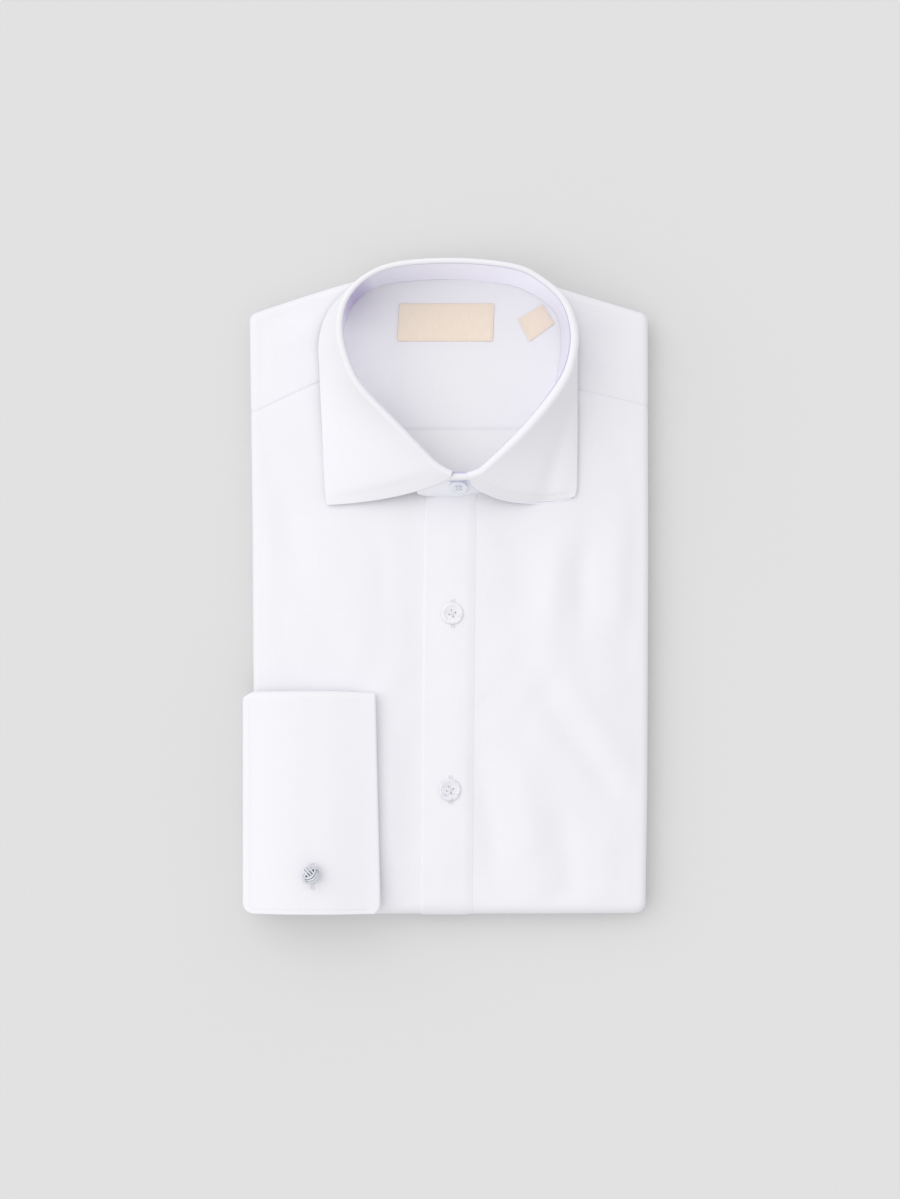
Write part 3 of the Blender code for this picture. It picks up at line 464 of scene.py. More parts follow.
def laid_mesh(name, shape, ring=False):
    """A grid mesh on an array of points (rows, columns, xyz). A ring's last row is its first one again."""
    rows, columns = shape.shape[:2]
    across = np.mean([lengths_along(row) for row in shape], axis=0) * MM
    down = np.mean([lengths_along(shape[:, column]) for column in range(columns)], axis=0) * MM
    edit = bmesh.new()
    bmesh.ops.create_grid(edit, x_segments=columns - 1, y_segments=rows - 1, size=0.5)
    threads = edit.loops.layers.uv.new("cloth")
    places = {}
    for vertex in edit.verts:
        column, row = round((vertex.co.x + 0.5) * (columns - 1)), round((vertex.co.y + 0.5) * (rows - 1))
        places[vertex] = (row, column)
        vertex.co = Vector(shape[row, column]) * MM
    for face in edit.faces:
        face.smooth = True
        for loop in face.loops:
            row, column = places[loop.vert]
            loop[threads].uv = (across[column], down[row])
    if ring:
        bmesh.ops.remove_doubles(edit, verts=edit.verts, dist=1e-6)
    return mesh_of(name, edit)


def add_piece(name, mesh, look):
    """A finished piece: it rides on the one body and takes the given look as its material."""
    made = bpy.data.objects.new(name, mesh)
    bpy.context.scene.collection.objects.link(made)
    if look:
        mesh.materials.append(look)
    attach(made, "root")
    return made


def cut_size(shape):
    """(width, length, area) in metres of the flat cloth that makes a shape."""
    wide = max(lengths_along(row)[-1] for row in shape)
    long = max(lengths_along(shape[:, column])[-1] for column in range(shape.shape[1]))
    sides = shape[1:, 1:] - shape[:-1, :-1], shape[1:, :-1] - shape[:-1, 1:]
    area = np.linalg.norm(np.cross(*sides), axis=2).sum() / 2
    return wide * MM, long * MM, area * MM * MM


def sheet(name, shape, look, thick=CLOTH, ring=False, replaces=()):
    """A sheet of cloth whose outer face lies on a shape, with its thickness behind that face."""
    shape = np.asarray(shape)
    made = add_piece(name, laid_mesh(name, shape, ring), look)
    thicken = made.modifiers.new("thickness", "SOLIDIFY")
    thicken.thickness, thicken.offset = thick * MM, -1
    thicken.use_quality_normals = True
    rounding = made.modifiers.new("rounding", "SUBSURF")
    rounding.levels = rounding.render_levels = 1
    rounding.boundary_smooth = "ALL"
    wide, long, area = cut_size(shape)
    if replaces:
        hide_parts(*replaces)
    print(f"{name}: cut {wide * 1000:.0f} x {long * 1000:.0f} mm")
    return made


# %% [markdown]
# ## Fronts
#
# Each front is cut along the neck, runs down beside the placket and wraps round the side and the bottom of
# the pile. Its rows start on the neckline, which is a fixed distance outside the collar's seam, so the
# collar's table comes first. Where the bottom and the side rolls meet, both turn together round one corner.

# %% The collar's table, which the necklines follow
# A row for each section from the front round the wearer's right, the back and the left to the front.
# rim: the inner line of the fold, base: the inner line of the neck seam, edge: the leaf's free edge.
# bow: how far the fall swings to the front, hug: how early it drops, belly: how far the stand bulges out.
COLLAR_COLUMNS = (
    "rim_x", "rim_y", "rim_z", "base_x", "base_y", "edge_x", "edge_y", "edge_z", "bow", "hug", "belly",
)
COLLAR = (
    (3.6, 62.2, 42.2, 1.6, 54.2, -64.4, 46.3, 21.9, 3.8, 0.55, 3.0),
    (-2.9, 65.3, 43.0, -4.6, 54.9, -64.8, 49.5, 22.0, 2.8, 0.35, 2.8),
    (-8.9, 70.0, 44.0, -11.0, 56.2, -65.4, 56.0, 22.2, 2.0, 0.10, 2.6),
    (-27.3, 88.0, 47.5, -35.5, 69.5, -66.3, 79.0, 22.2, 0.6, 0.10, 1.4),
    (-44.8, 107.5, 50.0, -51.5, 96.0, -67.3, 104.0, 21.8, 0.0, 0.05, 0.8),
    (-51.6, 121.2, 51.0, -55.5, 114.0, -67.8, 119.5, 21.2, 0.0, 0.0, 0.6),
    (-55.2, 137.6, 52.0, -56.8, 134.0, -68.0, 136.0, 20.6, 0.0, 0.0, 0.5),
    (-52.7, 153.2, 53.0, -52.6, 151.5, -62.2, 152.5, 19.6, 0.0, 0.0, 0.5),
    (-42.3, 165.2, 53.5, -41.8, 162.6, -46.0, 168.2, 19.2, 0.0, 0.0, 0.3),
    (-24.9, 171.9, 54.0, -25.0, 167.6, -26.5, 175.6, 13.0, 0.0, 0.0, 0.0),
    (6.1, 173.7, 54.0, 5.0, 169.2, 6.1, 177.2, 12.0, 0.0, 0.0, 0.0),
    (35.2, 170.8, 54.0, 34.2, 166.2, 36.8, 174.6, 13.0, 0.0, 0.0, 0.0),
    (49.8, 164.3, 53.5, 49.6, 159.6, 53.2, 167.6, 19.0, 0.0, 0.0, 0.3),
    (61.8, 152.6, 53.0, 60.2, 150.0, 65.8, 154.0, 19.6, 0.0, 0.0, 0.5),
    (66.3, 137.0, 52.0, 62.6, 135.0, 70.6, 137.5, 20.6, 0.0, 0.0, 0.5),
    (64.4, 121.2, 51.0, 60.8, 118.0, 70.8, 121.0, 21.0, 0.0, 0.0, 0.6),
    (58.1, 107.5, 50.0, 57.0, 98.5, 70.9, 104.0, 21.6, 0.0, 0.0, 0.8),
    (41.7, 85.9, 47.5, 43.5, 70.5, 71.2, 80.0, 22.0, 1.0, 0.0, 1.4),
    (21.2, 66.4, 44.0, 21.5, 56.0, 71.2, 58.0, 22.2, 5.0, 0.1, 2.6),
    (16.0, 63.1, 42.8, 16.6, 54.8, 70.9, 54.0, 22.2, 7.0, 0.45, 2.8),
    (11.4, 61.5, 42.2, 11.4, 54.2, 70.3, 51.1, 22.2, 8.5, 1.0, 3.0),
)
SECTIONS_BETWEEN = 8


def catmull(rows, between):
    """Rows of numbers with `between` - 1 smooth rows added in each gap."""
    rows = np.asarray(rows, float)
    padded = np.vstack((2 * rows[0] - rows[1], rows, 2 * rows[-1] - rows[-2]))
    found = []
    for a, b, c, d in zip(padded, padded[1:], padded[2:], padded[3:]):
        bend, turn = 2 * a - 5 * b + 4 * c - d, 3 * b - a - 3 * c + d
        for step in range(between):
            t = step / between
            found.append(b + 0.5 * ((c - a) * t + bend * t**2 + turn * t**3))
    return np.vstack((found, rows[-1]))


def left_of(lines):
    """Unit vectors in plan, pointing to the left of a line's direction at each of its points."""
    run = np.gradient(lines[:, :2], axis=0)
    run /= np.linalg.norm(run, axis=1)[:, None]
    return np.stack((-run[:, 1], run[:, 0], np.zeros(len(run))), axis=1)


def collar_curves():
    """The table's smooth curves, with the outward direction of the rim at each section."""
    rows = catmull(COLLAR, SECTIONS_BETWEEN)
    column = {name: rows[:, index] for index, name in enumerate(COLLAR_COLUMNS)}
    flat = np.zeros(len(rows))
    found = {"bow": column["bow"], "hug": column["hug"], "belly": column["belly"]}
    found["rim"] = np.stack((column["rim_x"], column["rim_y"], column["rim_z"]), axis=1)
    found["base"] = np.stack((column["base_x"], column["base_y"], flat), axis=1)
    found["edge"] = np.stack((column["edge_x"], column["edge_y"], column["edge_z"]), axis=1)
    found["out"], found["base_out"] = left_of(found["rim"]), left_of(found["base"])
    return found


CURVES = collar_curves()
print(f"the collar's fold is {lengths_along(CURVES['rim'])[-1]:.0f} mm round")

# %% Fronts
NECK_EDGE = 1.3  # how far outside the band's inner line the fronts' necklines run
PLACKET_LEFT = ((-176, -13.4), (-60, -12.6), (52, -11.4))  # y, x
PLACKET_WIDTH = 29.3
PLACKET_TOP_Y = 50.8
FRONT_TUCK = 9.0  # how far a front runs in under the placket
YOKE_SEAM_LEFT_Y = (117.5, 97.0)  # at the neck and at the side
YOKE_SEAM_RIGHT_Y = (110.5, 100.0)
SEAM_TUCK = 3.0  # how far a front runs in under the yoke
SEAM_STEP = 0.28  # how much lower it lies there
ROLL_STEPS = 9


def neck_line(side, first_x, last_y, count):
    """Points of a front's neckline, from the placket to the yoke's seam."""
    line = (CURVES["base"] + CURVES["base_out"] * NECK_EDGE)[:, :2]
    half = len(line) // 2
    line = line[:half] if side < 0 else line[:half:-1]
    line = line[(line[:, 0] * side > first_x * side) & (line[:, 1] < last_y)]
    line = np.vstack(((first_x, line[0, 1]), line, (line[-1, 0] + side * 0.3, last_y)))
    lengths = lengths_along(line)
    found = []
    for share in np.linspace(0, 1, count):
        found.append([np.interp(share * lengths[-1], lengths, line[:, axis]) for axis in (0, 1)])
    return found


def front_rows(side, tucked, seam):
    """((x, y) of the inner end, y of the outer end) for each row of a front, from the yoke's seam down."""
    first_x = along(PLACKET_LEFT, PLACKET_TOP_Y) + tucked
    neck = neck_line(side, first_x, seam[0] + SEAM_TUCK, 34)[::-1]
    below_neck = PLACKET_TOP_Y - 6
    rows = []
    for index, place in enumerate(neck):
        share = (index / (len(neck) - 1)) ** 0.9
        rows.append((place, seam[1] + SEAM_TUCK + (below_neck - seam[1] - SEAM_TUCK) * share))
    rows += [((along(PLACKET_LEFT, y) + tucked, y), y) for y in np.linspace(below_neck - 1.5, BOTTOM_Y, 74)]
    return rows


def corner_point(corner, side, across, down, angles):
    """A point of the corner, where the side roll and the bottom roll turn into each other."""
    level = max(across, down)
    swing = 45 * down / across if across >= down else 90 - 45 * across / down
    way = np.array((side * cos(radians(swing)), -sin(radians(swing))))
    radius = SIDE_ROLL + (BOTTOM_ROLL - SIDE_ROLL) * swing / 90
    return on_roll(corner + way * CORNER_ROUND, way, radius, angles[level - 1], 0)


def front_shape(side, tucked, seam):
    """A front's outer face: rows from the top seam down round the bottom roll, columns outwards."""
    columns = np.linspace(0, 1, 38)
    angles = roll_angles(ROLL_STEPS)
    rows = front_rows(side, tucked, seam)
    outward = np.array((side, 0.0))
    shape = []
    for (x, y), outer_y in rows:
        outer_x = side_x(outer_y, side)
        row = []
        for t in columns:
            place = (x + (outer_x - x) * t, y + (outer_y - y) * t)
            seam_y = seam[0] + (seam[1] - seam[0]) * (place[0] - x) / (outer_x - x)
            under = smooth(place[1], seam_y - 2.2, seam_y + 0.4)
            row.append(on_top(*place, -SEAM_STEP * under))
        tuck = smooth(outer_y, seam[1] - 2.2, seam[1] + 0.4) * SEAM_STEP
        row += [on_roll((outer_x, outer_y), outward, SIDE_ROLL, angle, -tuck) for angle in angles]
        shape.append(row)
    corner = np.array((side_x(BOTTOM_Y, side) - side * CORNER_ROUND, BOTTOM_Y + CORNER_ROUND))
    shape[-1][-1 - ROLL_STEPS] = on_top(*(corner + CORNER_ROUND * 0.7 * np.array((side, -1))), 0)
    for across in range(1, ROLL_STEPS + 1):
        shape[-1][across - 1 - ROLL_STEPS] = corner_point(corner, side, across, 0, angles)
    flat = shape[-1][: len(columns) - 1]
    for down, angle in enumerate(angles, 1):
        row = [on_roll((point[0], BOTTOM_Y), (0, -1), BOTTOM_ROLL, angle, 0) for point in flat]
        row += [corner_point(corner, side, across, down, angles) for across in range(ROLL_STEPS + 1)]
        shape.append(row)
    return shape


FRONTS = {
    "right_front": (-1, FRONT_TUCK, YOKE_SEAM_LEFT_Y, "front_right"),
    "left_front": (1, PLACKET_WIDTH - FRONT_TUCK, YOKE_SEAM_RIGHT_Y, "front_left"),
}
for name, (side, tucked, seam, cad_node) in FRONTS.items():
    shape = np.asarray(front_shape(side, tucked, seam))[:, ::-side]
    sheet(name, shape, WHITE, replaces=[cad_node])

# %% [markdown]
# ## Placket
#
# The button front is a folded strip on the wearer's left front. Its free edge, on the left here, is a fold
# that lies on the other front and casts a thin shadow; its other edge is only stitched down. So its cross
# section stands a full ply tall on one side and sinks almost to the front on the other.

# %% Placket
PLACKET_RISE = 0.85  # outer face over the fronts, at the free edge
PLACKET_SUNK = -0.1  # and at the stitched edge
PLACKET_CLOTH = 0.7
PLACKET_UNDER_BAND = 4.2  # how far it runs up under the collar band


def placket_rise(share):
    """Height of the placket's face across its width: a round fold, a plateau, a low stitched edge."""
    fold = 0.42 * (1 - smooth(share, 0.0, 0.045))
    return PLACKET_RISE - fold - (PLACKET_RISE - PLACKET_SUNK) * smooth(share, 0.8, 1.0)


def placket_shape():
    shares = np.concatenate((np.linspace(0, 0.06, 4), np.linspace(0.1, 0.92, 15), np.linspace(0.95, 1, 4)))
    shape = []
    for y in np.linspace(PLACKET_TOP_Y + PLACKET_UNDER_BAND, BOTTOM_Y, 92):
        left = along(PLACKET_LEFT, y)
        shape.append([on_top(left + PLACKET_WIDTH * t, y, placket_rise(t)) for t in shares])
    flat = shape[-1]
    for angle in roll_angles(ROLL_STEPS)[:-1]:
        row = []
        for point, share in zip(flat, shares):
            row.append(on_roll((point[0], BOTTOM_Y), (0, -1), BOTTOM_ROLL, angle, placket_rise(share) * 0.6))
        shape.append(row)
    return np.asarray(shape)[:, ::-1]


sheet("placket_strip", placket_shape(), WHITE, PLACKET_CLOTH,
      replaces=["placket"])

# %% [markdown]
# ## Yoke
#
# The yoke wraps both shoulders and the back neck in one piece. Its grid runs from the left front seam round
# to the right one, and from the neck out and down over the rolled edge. It is sewn on over the fronts, and
# its two lower edges are pulled in by their stitches.

# %% The rim of the pile's flat top
CORNER_STEPS = 5
SHOULDER_Y = 148.5


def rounded_corner(before, corner, after, steps):
    """Points and outward normals round a corner of a clockwise outline."""
    sides = [np.array(corner) - before, np.array(after) - corner]
    sides = [side / np.linalg.norm(side) for side in sides]
    normals = [np.array((-side[1], side[0])) for side in sides]
    turn = np.arccos(np.clip(normals[0] @ normals[1], -1, 1))
    centre = np.array(corner) - sides[0] * CORNER_ROUND * np.tan(turn / 2) - normals[0] * CORNER_ROUND
    found = []
    for share in np.linspace(0, 1, steps + 1):
        normal = normals[0] * (1 - share) + normals[1] * share
        normal /= np.linalg.norm(normal)
        found.append((centre + normal * CORNER_ROUND, normal))
    return found


def crossing(run, following):
    """Where the last stretch of one run and the first stretch of the next one meet when lengthened."""
    start, through = np.array(run[-2]), np.array(run[-1])
    other, onward = np.array(following[1]), np.array(following[2])
    ways = np.stack((through - start, other - onward), axis=1)
    return start + (through - start) * np.linalg.solve(ways, other - start)[0]


def rim_outline():
    """(point, outward normal, roll radius) round the flat top, clockwise from the bottom edge's left end."""
    left = [(side_x(y, -1), y) for y in np.linspace(BOTTOM_Y, SHOULDER_Y, 66)]
    shoulders = [(x, along(TOP_EDGE, x) - reach(SIDE_ROLL)) for x in np.linspace(-101, 105, 60)]
    right = [(side_x(y, 1), y) for y in np.linspace(SHOULDER_Y, BOTTOM_Y, 66)]
    bottom = [(x, BOTTOM_Y) for x in np.linspace(right[-1][0], left[0][0], 44)]
    shoulders = [np.array(point) for point in shoulders]
    for _ in range(6):
        middle = [(a + b * 2 + c) / 4 for a, b, c in zip(shoulders, shoulders[1:], shoulders[2:])]
        shoulders[1:-1] = middle
    runs = ((left, SIDE_ROLL), (shoulders, SIDE_ROLL), (right, SIDE_ROLL), (bottom, BOTTOM_ROLL))
    found = []
    for index, (run, radius) in enumerate(runs):
        following, next_radius = runs[(index + 1) % 4]
        normals = left_of(np.array([(*point, 0) for point in run]))
        found += [(np.array(point), normal[:2], radius) for point, normal in zip(run[1:-1], normals[1:-1])]
        corner = run[-1] if index > 1 else crossing(run, following)
        for step, (point, normal) in enumerate(rounded_corner(run[-2], corner, following[1], CORNER_STEPS)):
            found.append((point, normal, radius + (next_radius - radius) * step / CORNER_STEPS))
    return found


RIM = rim_outline()
print(len(RIM), "stations round the rim")

# %% Yoke
YOKE_GAP = 0.5  # the yoke's neckline lies this far outside the fronts'
YOKE_PUFF = 0.04  # how far it lies over the fronts
YOKE_SUNK = 0.24  # and how much its stitched edges are pulled in
YOKE_CLOTH = 0.6


def yoke_shape():
    line = (CURVES["base"] + CURVES["base_out"] * (NECK_EDGE + YOKE_GAP))[:, :2]
    half = len(line) // 2
    left, right = YOKE_SEAM_LEFT_Y, YOKE_SEAM_RIGHT_Y
    start = int(np.argmin(abs(line[:half, 1] - left[0])))
    stop = half + int(np.argmin(abs(line[half:, 1] - right[0])))
    neck = line[start : stop + 1].copy()
    neck[0, 1], neck[-1, 1] = left[0], right[0]
    stations = [(np.array((side_x(left[1], -1), left[1])), np.array((-1.0, 0.0)))]
    for point, normal, _ in RIM:
        if point[1] > (left[1] if point[0] < 0 else right[1]) + 2:
            stations.append((point, normal))
    stations.append((np.array((side_x(right[1], 1), right[1])), np.array((1.0, 0.0))))
    neck_at, outer_at = (lengths_along(np.array(line)) for line in (neck, [point for point, _ in stations]))
    shape = []
    for (point, normal), length in zip(stations, outer_at):
        share = length / outer_at[-1]
        inner = np.array([np.interp(share * neck_at[-1], neck_at, neck[:, axis]) for axis in (0, 1)])
        from_seam = min(length, outer_at[-1] - length)
        puff = YOKE_PUFF - YOKE_SUNK * (1 - smooth(from_seam, 0, 1.5))
        row = [on_top(*(inner + (point - inner) * t), puff) for t in np.linspace(0, 1, 20)]
        row += [on_roll(point, normal, SIDE_ROLL, angle, puff) for angle in roll_angles(ROLL_STEPS)]
        shape.append(row)
    return shape


def flipped(shape):
    """The same shape with its columns in the other order, so that its face points the other way."""
    return np.asarray(shape)[:, ::-1]


YOKE = yoke_shape()
sheet("shoulder_yoke", flipped(YOKE), WHITE, YOKE_CLOTH,
      replaces=["yoke"])

# %% [markdown]
# ## Inside of the back
#
# Through the neck one sees the inner yoke and, under its seam, the back panel. Both lie a little lower than
# the fronts, and so they are always in soft shade.

# %% Inner yoke and back panel
BACK_DROP = 1.9  # the back's face lies this far under the fronts'
INNER_YOKE_SEAM_Y = 86.8
INNER_YOKE_TOP_Y = 170.4
INNER_YOKE_HALF_WIDE = ((87, 84), (140, 80), (160, 60), (170.4, 30))  # y, half width
INNER_YOKE_MIDDLE_X = 4.0
BACK_BOTTOM_Y = 20.0
YOKE_FACE = 0.15  # the inner yoke's face over the back panel's level
INSIDE_CLOTH = 0.4


def inner_face(x, y, lift):
    return np.array((x, y, dome(x, y) - BACK_DROP + lift + 0.18 * sin(x / 9) * sin(y / 23)))


def back_shapes():
    """The upper faces of the inner yoke and of the back panel."""
    across = np.linspace(-1, 1, 60)
    seam_y = INNER_YOKE_SEAM_Y
    inner_yoke = []
    for y in (seam_y, seam_y + 1.5, *np.linspace(seam_y + 4, INNER_YOKE_TOP_Y, 28)):
        half_wide = along(INNER_YOKE_HALF_WIDE, y)
        puff = YOKE_FACE - 0.2 * (1 - smooth(y, seam_y, seam_y + 1.5))
        inner_yoke.append([inner_face(INNER_YOKE_MIDDLE_X + half_wide * t, y, puff) for t in across])
    back = []
    for y in np.linspace(BACK_BOTTOM_Y, seam_y + 2, 30):
        back.append([inner_face(MIDDLE_X + 70 * t, y, -0.12) for t in across])
    return inner_yoke, back


inner_yoke_shape, back_shape = back_shapes()
sheet("inside_yoke", inner_yoke_shape, YOKE_INSIDE, INSIDE_CLOTH,
      replaces=["inner_yoke"])
sheet("inside_back", back_shape, BACK_INSIDE, INSIDE_CLOTH,
      replaces=["back_panel"])

# %% [markdown]
# ## Folded plies
#
# From the side, a folded shirt shows its layers: the rolled edge of the front, and under it the sides, the
# sleeve and the tail that were folded beneath. They share one closed body. Its rings follow the rim of the
# pile, and each ply swells out and pulls in again by its own uneven amount.

# %% Folded plies
PLIES = 4
PLY_SECTION = ((2.3, 0.02), (1.4, 0.25), (1.2, 0.5), (1.5, 0.78), (2.6, 0.97))  # inset, share of its height
PLY_TOP_GAP = 0.7  # between the topmost ply and the end of the front's roll
GROOVE_DEEP = 5.2
SLEEVE_ROOM_DEEP = 3.6  # more depth and height for the groove where the sleeve is tucked into it
SLEEVE_ROOM_TALL = 2.9
SLEEVE_ROOM_Y = (-171, -164, -50, -42)  # the room grows, is whole, and shrinks again between these
LAYERS_DROP = 3.4


def sleeve_room(x, y):
    """1 where the sleeve is tucked into the left side of the pile, 0 away from it."""
    return float(np.interp(y, SLEEVE_ROOM_Y, (0, 1, 1, 0))) if x < -90 else 0.0


def wander(place, ply):
    """How far a ply's edge strays in and out along the rim."""
    return 0.55 * sin(place * 0.061 + ply * 2.1) + 0.35 * sin(place * 0.173 + ply * 4.7)


def ply_rings():
    """Rings of points: out along the underside, up round every ply and in over the top."""
    rings = []
    for share in (0.4, 0.75, 0.94):
        rings.append([np.array((*(MIDDLE + (point - MIDDLE) * share), 0.0)) for point, _, _ in RIM])
    for ply in range(PLIES):
        for inset, share in PLY_SECTION:
            ring = []
            for place, (point, normal, radius) in enumerate(RIM):
                fold_end = on_roll(point, normal, radius, ROLL_END, 0)[2]
                room = fold_end - PLY_TOP_GAP - SLEEVE_ROOM_TALL * sleeve_room(*point)
                height = room * (ply + share) / PLIES if ply or share > 0.1 else 0.0
                deep = reach(radius) - inset - 0.9 + wander(place, ply) * (0.6 + 0.1 * ply)
                ring.append(np.array((*(point + normal * deep), height)))
            rings.append(ring)
    for rise, tall_room in ((-0.3, SLEEVE_ROOM_TALL), (0.8, 0)):
        ring = []
        for point, normal, radius in RIM:
            room = sleeve_room(*point)
            height = on_roll(point, normal, radius, ROLL_END, 0)[2] + rise - tall_room * room
            deep = reach(radius) - GROOVE_DEEP - SLEEVE_ROOM_DEEP * room
            ring.append(np.array((*(point + normal * deep), height)))
        rings.append(ring)
    for angle in radians(148), radians(110), radians(80), radians(50):
        rings.append([on_roll(point, normal, radius, angle, -CLOTH - 0.8) for point, normal, radius in RIM])
    for share in (0.97, 0.7, 0.3):
        inner = [MIDDLE + (point - MIDDLE) * share for point, _, _ in RIM]
        rings.append([np.array((*place, dome(*place) - LAYERS_DROP)) for place in inner])
    return [ring + ring[:1] for ring in rings]


def closed_mesh(name, rings):
    """A closed body through rings of points. The holes at its two ends are filled."""
    mesh = laid_mesh(name, np.asarray(rings), ring=True)
    edit = bmesh.new()
    edit.from_mesh(mesh)
    bmesh.ops.holes_fill(edit, edges=[edge for edge in edit.edges if edge.is_boundary], sides=0)
    bmesh.ops.triangulate(edit, faces=[face for face in edit.faces if len(face.verts) > 4])
    bmesh.ops.recalc_face_normals(edit, faces=edit.faces)
    edit.to_mesh(mesh)
    edit.free()
    return mesh


plies = add_piece("folded_plies", closed_mesh("folded_plies", ply_rings()), WHITE)
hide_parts("folded_layers")
print("plies:", len(plies.data.polygons), "faces")

# %% [markdown]
# ## Collar
#
# A shirt collar is a band that stands up and a leaf that falls over it. The band's inside is lined with
# lavender cotton. One table of twenty-one sections holds the whole of it: the line of the fold, the neck seam
# and the leaf's free edge. Smooth curves through the sections give as many rows as the mesh needs.

# %% Band: its lavender lining and its outer stand
LINING_CLOTH = 0.6
STAND_CLOTH = 0.9
LEAF_CLOTH = 0.8
BAND_APART = 0.9  # from the lining's inner face to the stand's inner face
LEAF_OVER_SEAM = 3.0  # the fold stands this far above the stand's top edge
STAND_OVERLAP = 27.5  # the stand's end runs this far past the centre front


def moved_out(shape, distance):
    """A shape moved along its own normals, which point away from the neck."""
    shape = np.asarray(shape)
    along_rows, along_columns = np.gradient(shape, axis=0), np.gradient(shape, axis=1)
    normals = np.cross(along_columns, along_rows)
    normals /= np.linalg.norm(normals, axis=2)[:, :, None]
    return shape + normals * distance


def band_shape(foot, shares):
    """The band's inner face, a row for each section, from foot above the pile up to the leaf's seam."""
    shape = []
    for rim, base, out, belly in zip(CURVES["rim"], CURVES["base"], CURVES["out"], CURVES["belly"]):
        start = np.array((base[0], base[1], dome(base[0], base[1]) - BACK_DROP))
        run = rim - UP * LEAF_OVER_SEAM - start
        first = (foot + BACK_DROP) / run[2]
        steps = first + (1 - first) * shares
        shape.append([start + run * step + out * belly * sin(pi * min(step * 1.15, 1)) for step in steps])
    return shape


BAND_SHARES = np.linspace(0, 1, 15)
LINING_TOP = 2.3  # how much further the lining runs up inside the fold than the stand does
BAND = np.asarray(band_shape(0.3, BAND_SHARES))
BAND_UP = BAND[:, -1] - BAND[:, -2]
BAND_UP /= np.linalg.norm(BAND_UP, axis=1)[:, None]
BAND_OUT = moved_out(BAND, 1.0)[:, -1] - BAND[:, -1]
lining_shape = moved_out(band_shape(-BACK_DROP + 0.2, BAND_SHARES), -0.25)
lining_shape[:, -1] += BAND_UP * LINING_TOP
lining_ring = np.concatenate((lining_shape, lining_shape[:1]))
sheet("band_lining", flipped(lining_ring), LAVENDER, LINING_CLOTH, ring=True,
      replaces=["collar_band_lining"])

stand_face = moved_out(band_shape(-0.2, BAND_SHARES), BAND_APART + STAND_CLOTH)


def overlap_rows(face):
    """The stand's end past the centre front, one ply further out, with a rounded corner."""
    end, lap = face[-1], moved_out(face, STAND_CLOTH + 0.25)[-1]
    rows = []
    for step in np.linspace(0.15, 1, 12):
        turn = max(0.0, (step - 0.45) / 0.55)
        low, high = 0.42 * turn**1.8, 0.96 - 0.42 * turn**2.4
        reach_along = low + (high - low) * BAND_SHARES
        row = lap[0] + (lap[-1] - lap[0]) * reach_along[:, None]
        row[:, 1] = np.interp(reach_along, BAND_SHARES, lap[:, 1])
        row[:, 0] = end[0][0] - STAND_OVERLAP * step
        rows.append(row)
    return rows


OVERLAP = overlap_rows(stand_face)
stand_shape = np.concatenate((stand_face[SECTIONS_BETWEEN // 2 :], OVERLAP))
sheet("band_stand", stand_shape, STAND_PAINTED_LIGHTER, STAND_CLOTH,
      replaces=["collar_stand"])

# %% [markdown]
# The leaf is one surface from the band's seam, up over the fold and down to its free edge. Each section of
# it is a small half circle and then a Bezier curve, whose handles say whether the cloth drops at once or
# swings out first. On the wearer's left it hugs the band and leaves a soft valley above its point.

# %% Leaf
FALL_STEPS = 26
FOLD_STEPS = 8
LIP = (  # section, fold's width
    (0, 2.8), (3, 2.6), (6, 2.3), (8, 1.3), (12, 1.4), (14, 3.6), (16, 3.9), (20, 2.8),
)
LEAF_VALLEY = ((68, 101), (64.5, 88), (59, 70.4), (54, 48))  # a soft trough down the wearer's left leaf
VALLEY_DEEP, VALLEY_WIDE = 1.9, 5.6
LEAF_LIFT = 0.05  # between the leaf's underside and the fronts, where it rests on them
LEAF_RESTS = (100, 171)  # half width and upper end of the stretch where it can rest on them


def bezier(points, t):
    a, b, c, d = points
    return a * (1 - t) ** 3 + 3 * b * t * (1 - t) ** 2 + 3 * c * t**2 * (1 - t) + d * t**3


def leaf_section(index, seam, up, out):
    """A section of the leaf's outer face: up from the stand, over the fold, down to the free edge."""
    edge = CURVES["edge"][index]
    wide = along(LIP, index / SECTIONS_BETWEEN)
    radius = wide / 2
    rise = LEAF_OVER_SEAM / up[2] - radius
    section = [seam + out * 0.05 + up * 0.2]
    for angle in np.linspace(pi, 0, FOLD_STEPS + 1):
        section.append(seam + out * (radius + radius * cos(angle)) + up * (rise + radius * sin(angle)))
    start = section[-1]
    run = edge - start
    drop, run[2] = -run[2], 0
    side = np.array((run[1], -run[0], 0)) / np.linalg.norm(run)
    bow = side * CURVES["bow"][index] * (-1 if side[1] > 0 else 1)
    hug = CURVES["hug"][index]
    handles = (
        start,
        start + run * 0.24 + bow * 1.35 - UP * drop * (0.36 + 0.5 * hug),
        start + run * 0.68 + bow - UP * drop * (0.7 + 0.3 * hug),
        edge,
    )
    for t in np.linspace(0, 1, FALL_STEPS + 1)[1:]:
        point = bezier(handles, t)
        away, _ = from_line(point[0], point[1], LEAF_VALLEY)
        point[2] -= VALLEY_DEEP * np.exp(-((away / VALLEY_WIDE) ** 2)) * sin(pi * t)
        if abs(point[0] - MIDDLE_X) < LEAF_RESTS[0] and point[1] < LEAF_RESTS[1]:
            point[2] = max(point[2], top(point[0], point[1]) + LEAF_CLOTH * 0.7 + LEAF_LIFT)
        section.append(point)
    return section


LEAF_STARTS = zip(BAND[:, -1], BAND_UP, BAND_OUT)
LEAF = np.asarray([leaf_section(index, *place) for index, place in enumerate(LEAF_STARTS)])
sheet("collar_fall", LEAF, FUSED, LEAF_CLOTH,
      replaces=["collar_leaf"])
for row in 0, -1:
    over = [point[2] - top(point[0], point[1]) for point in LEAF[row, -FALL_STEPS::5]]
    heights = ", ".join(f"{height:.1f}" for height in over)
    print("a front edge of the leaf lies", heights, "mm over the fronts")

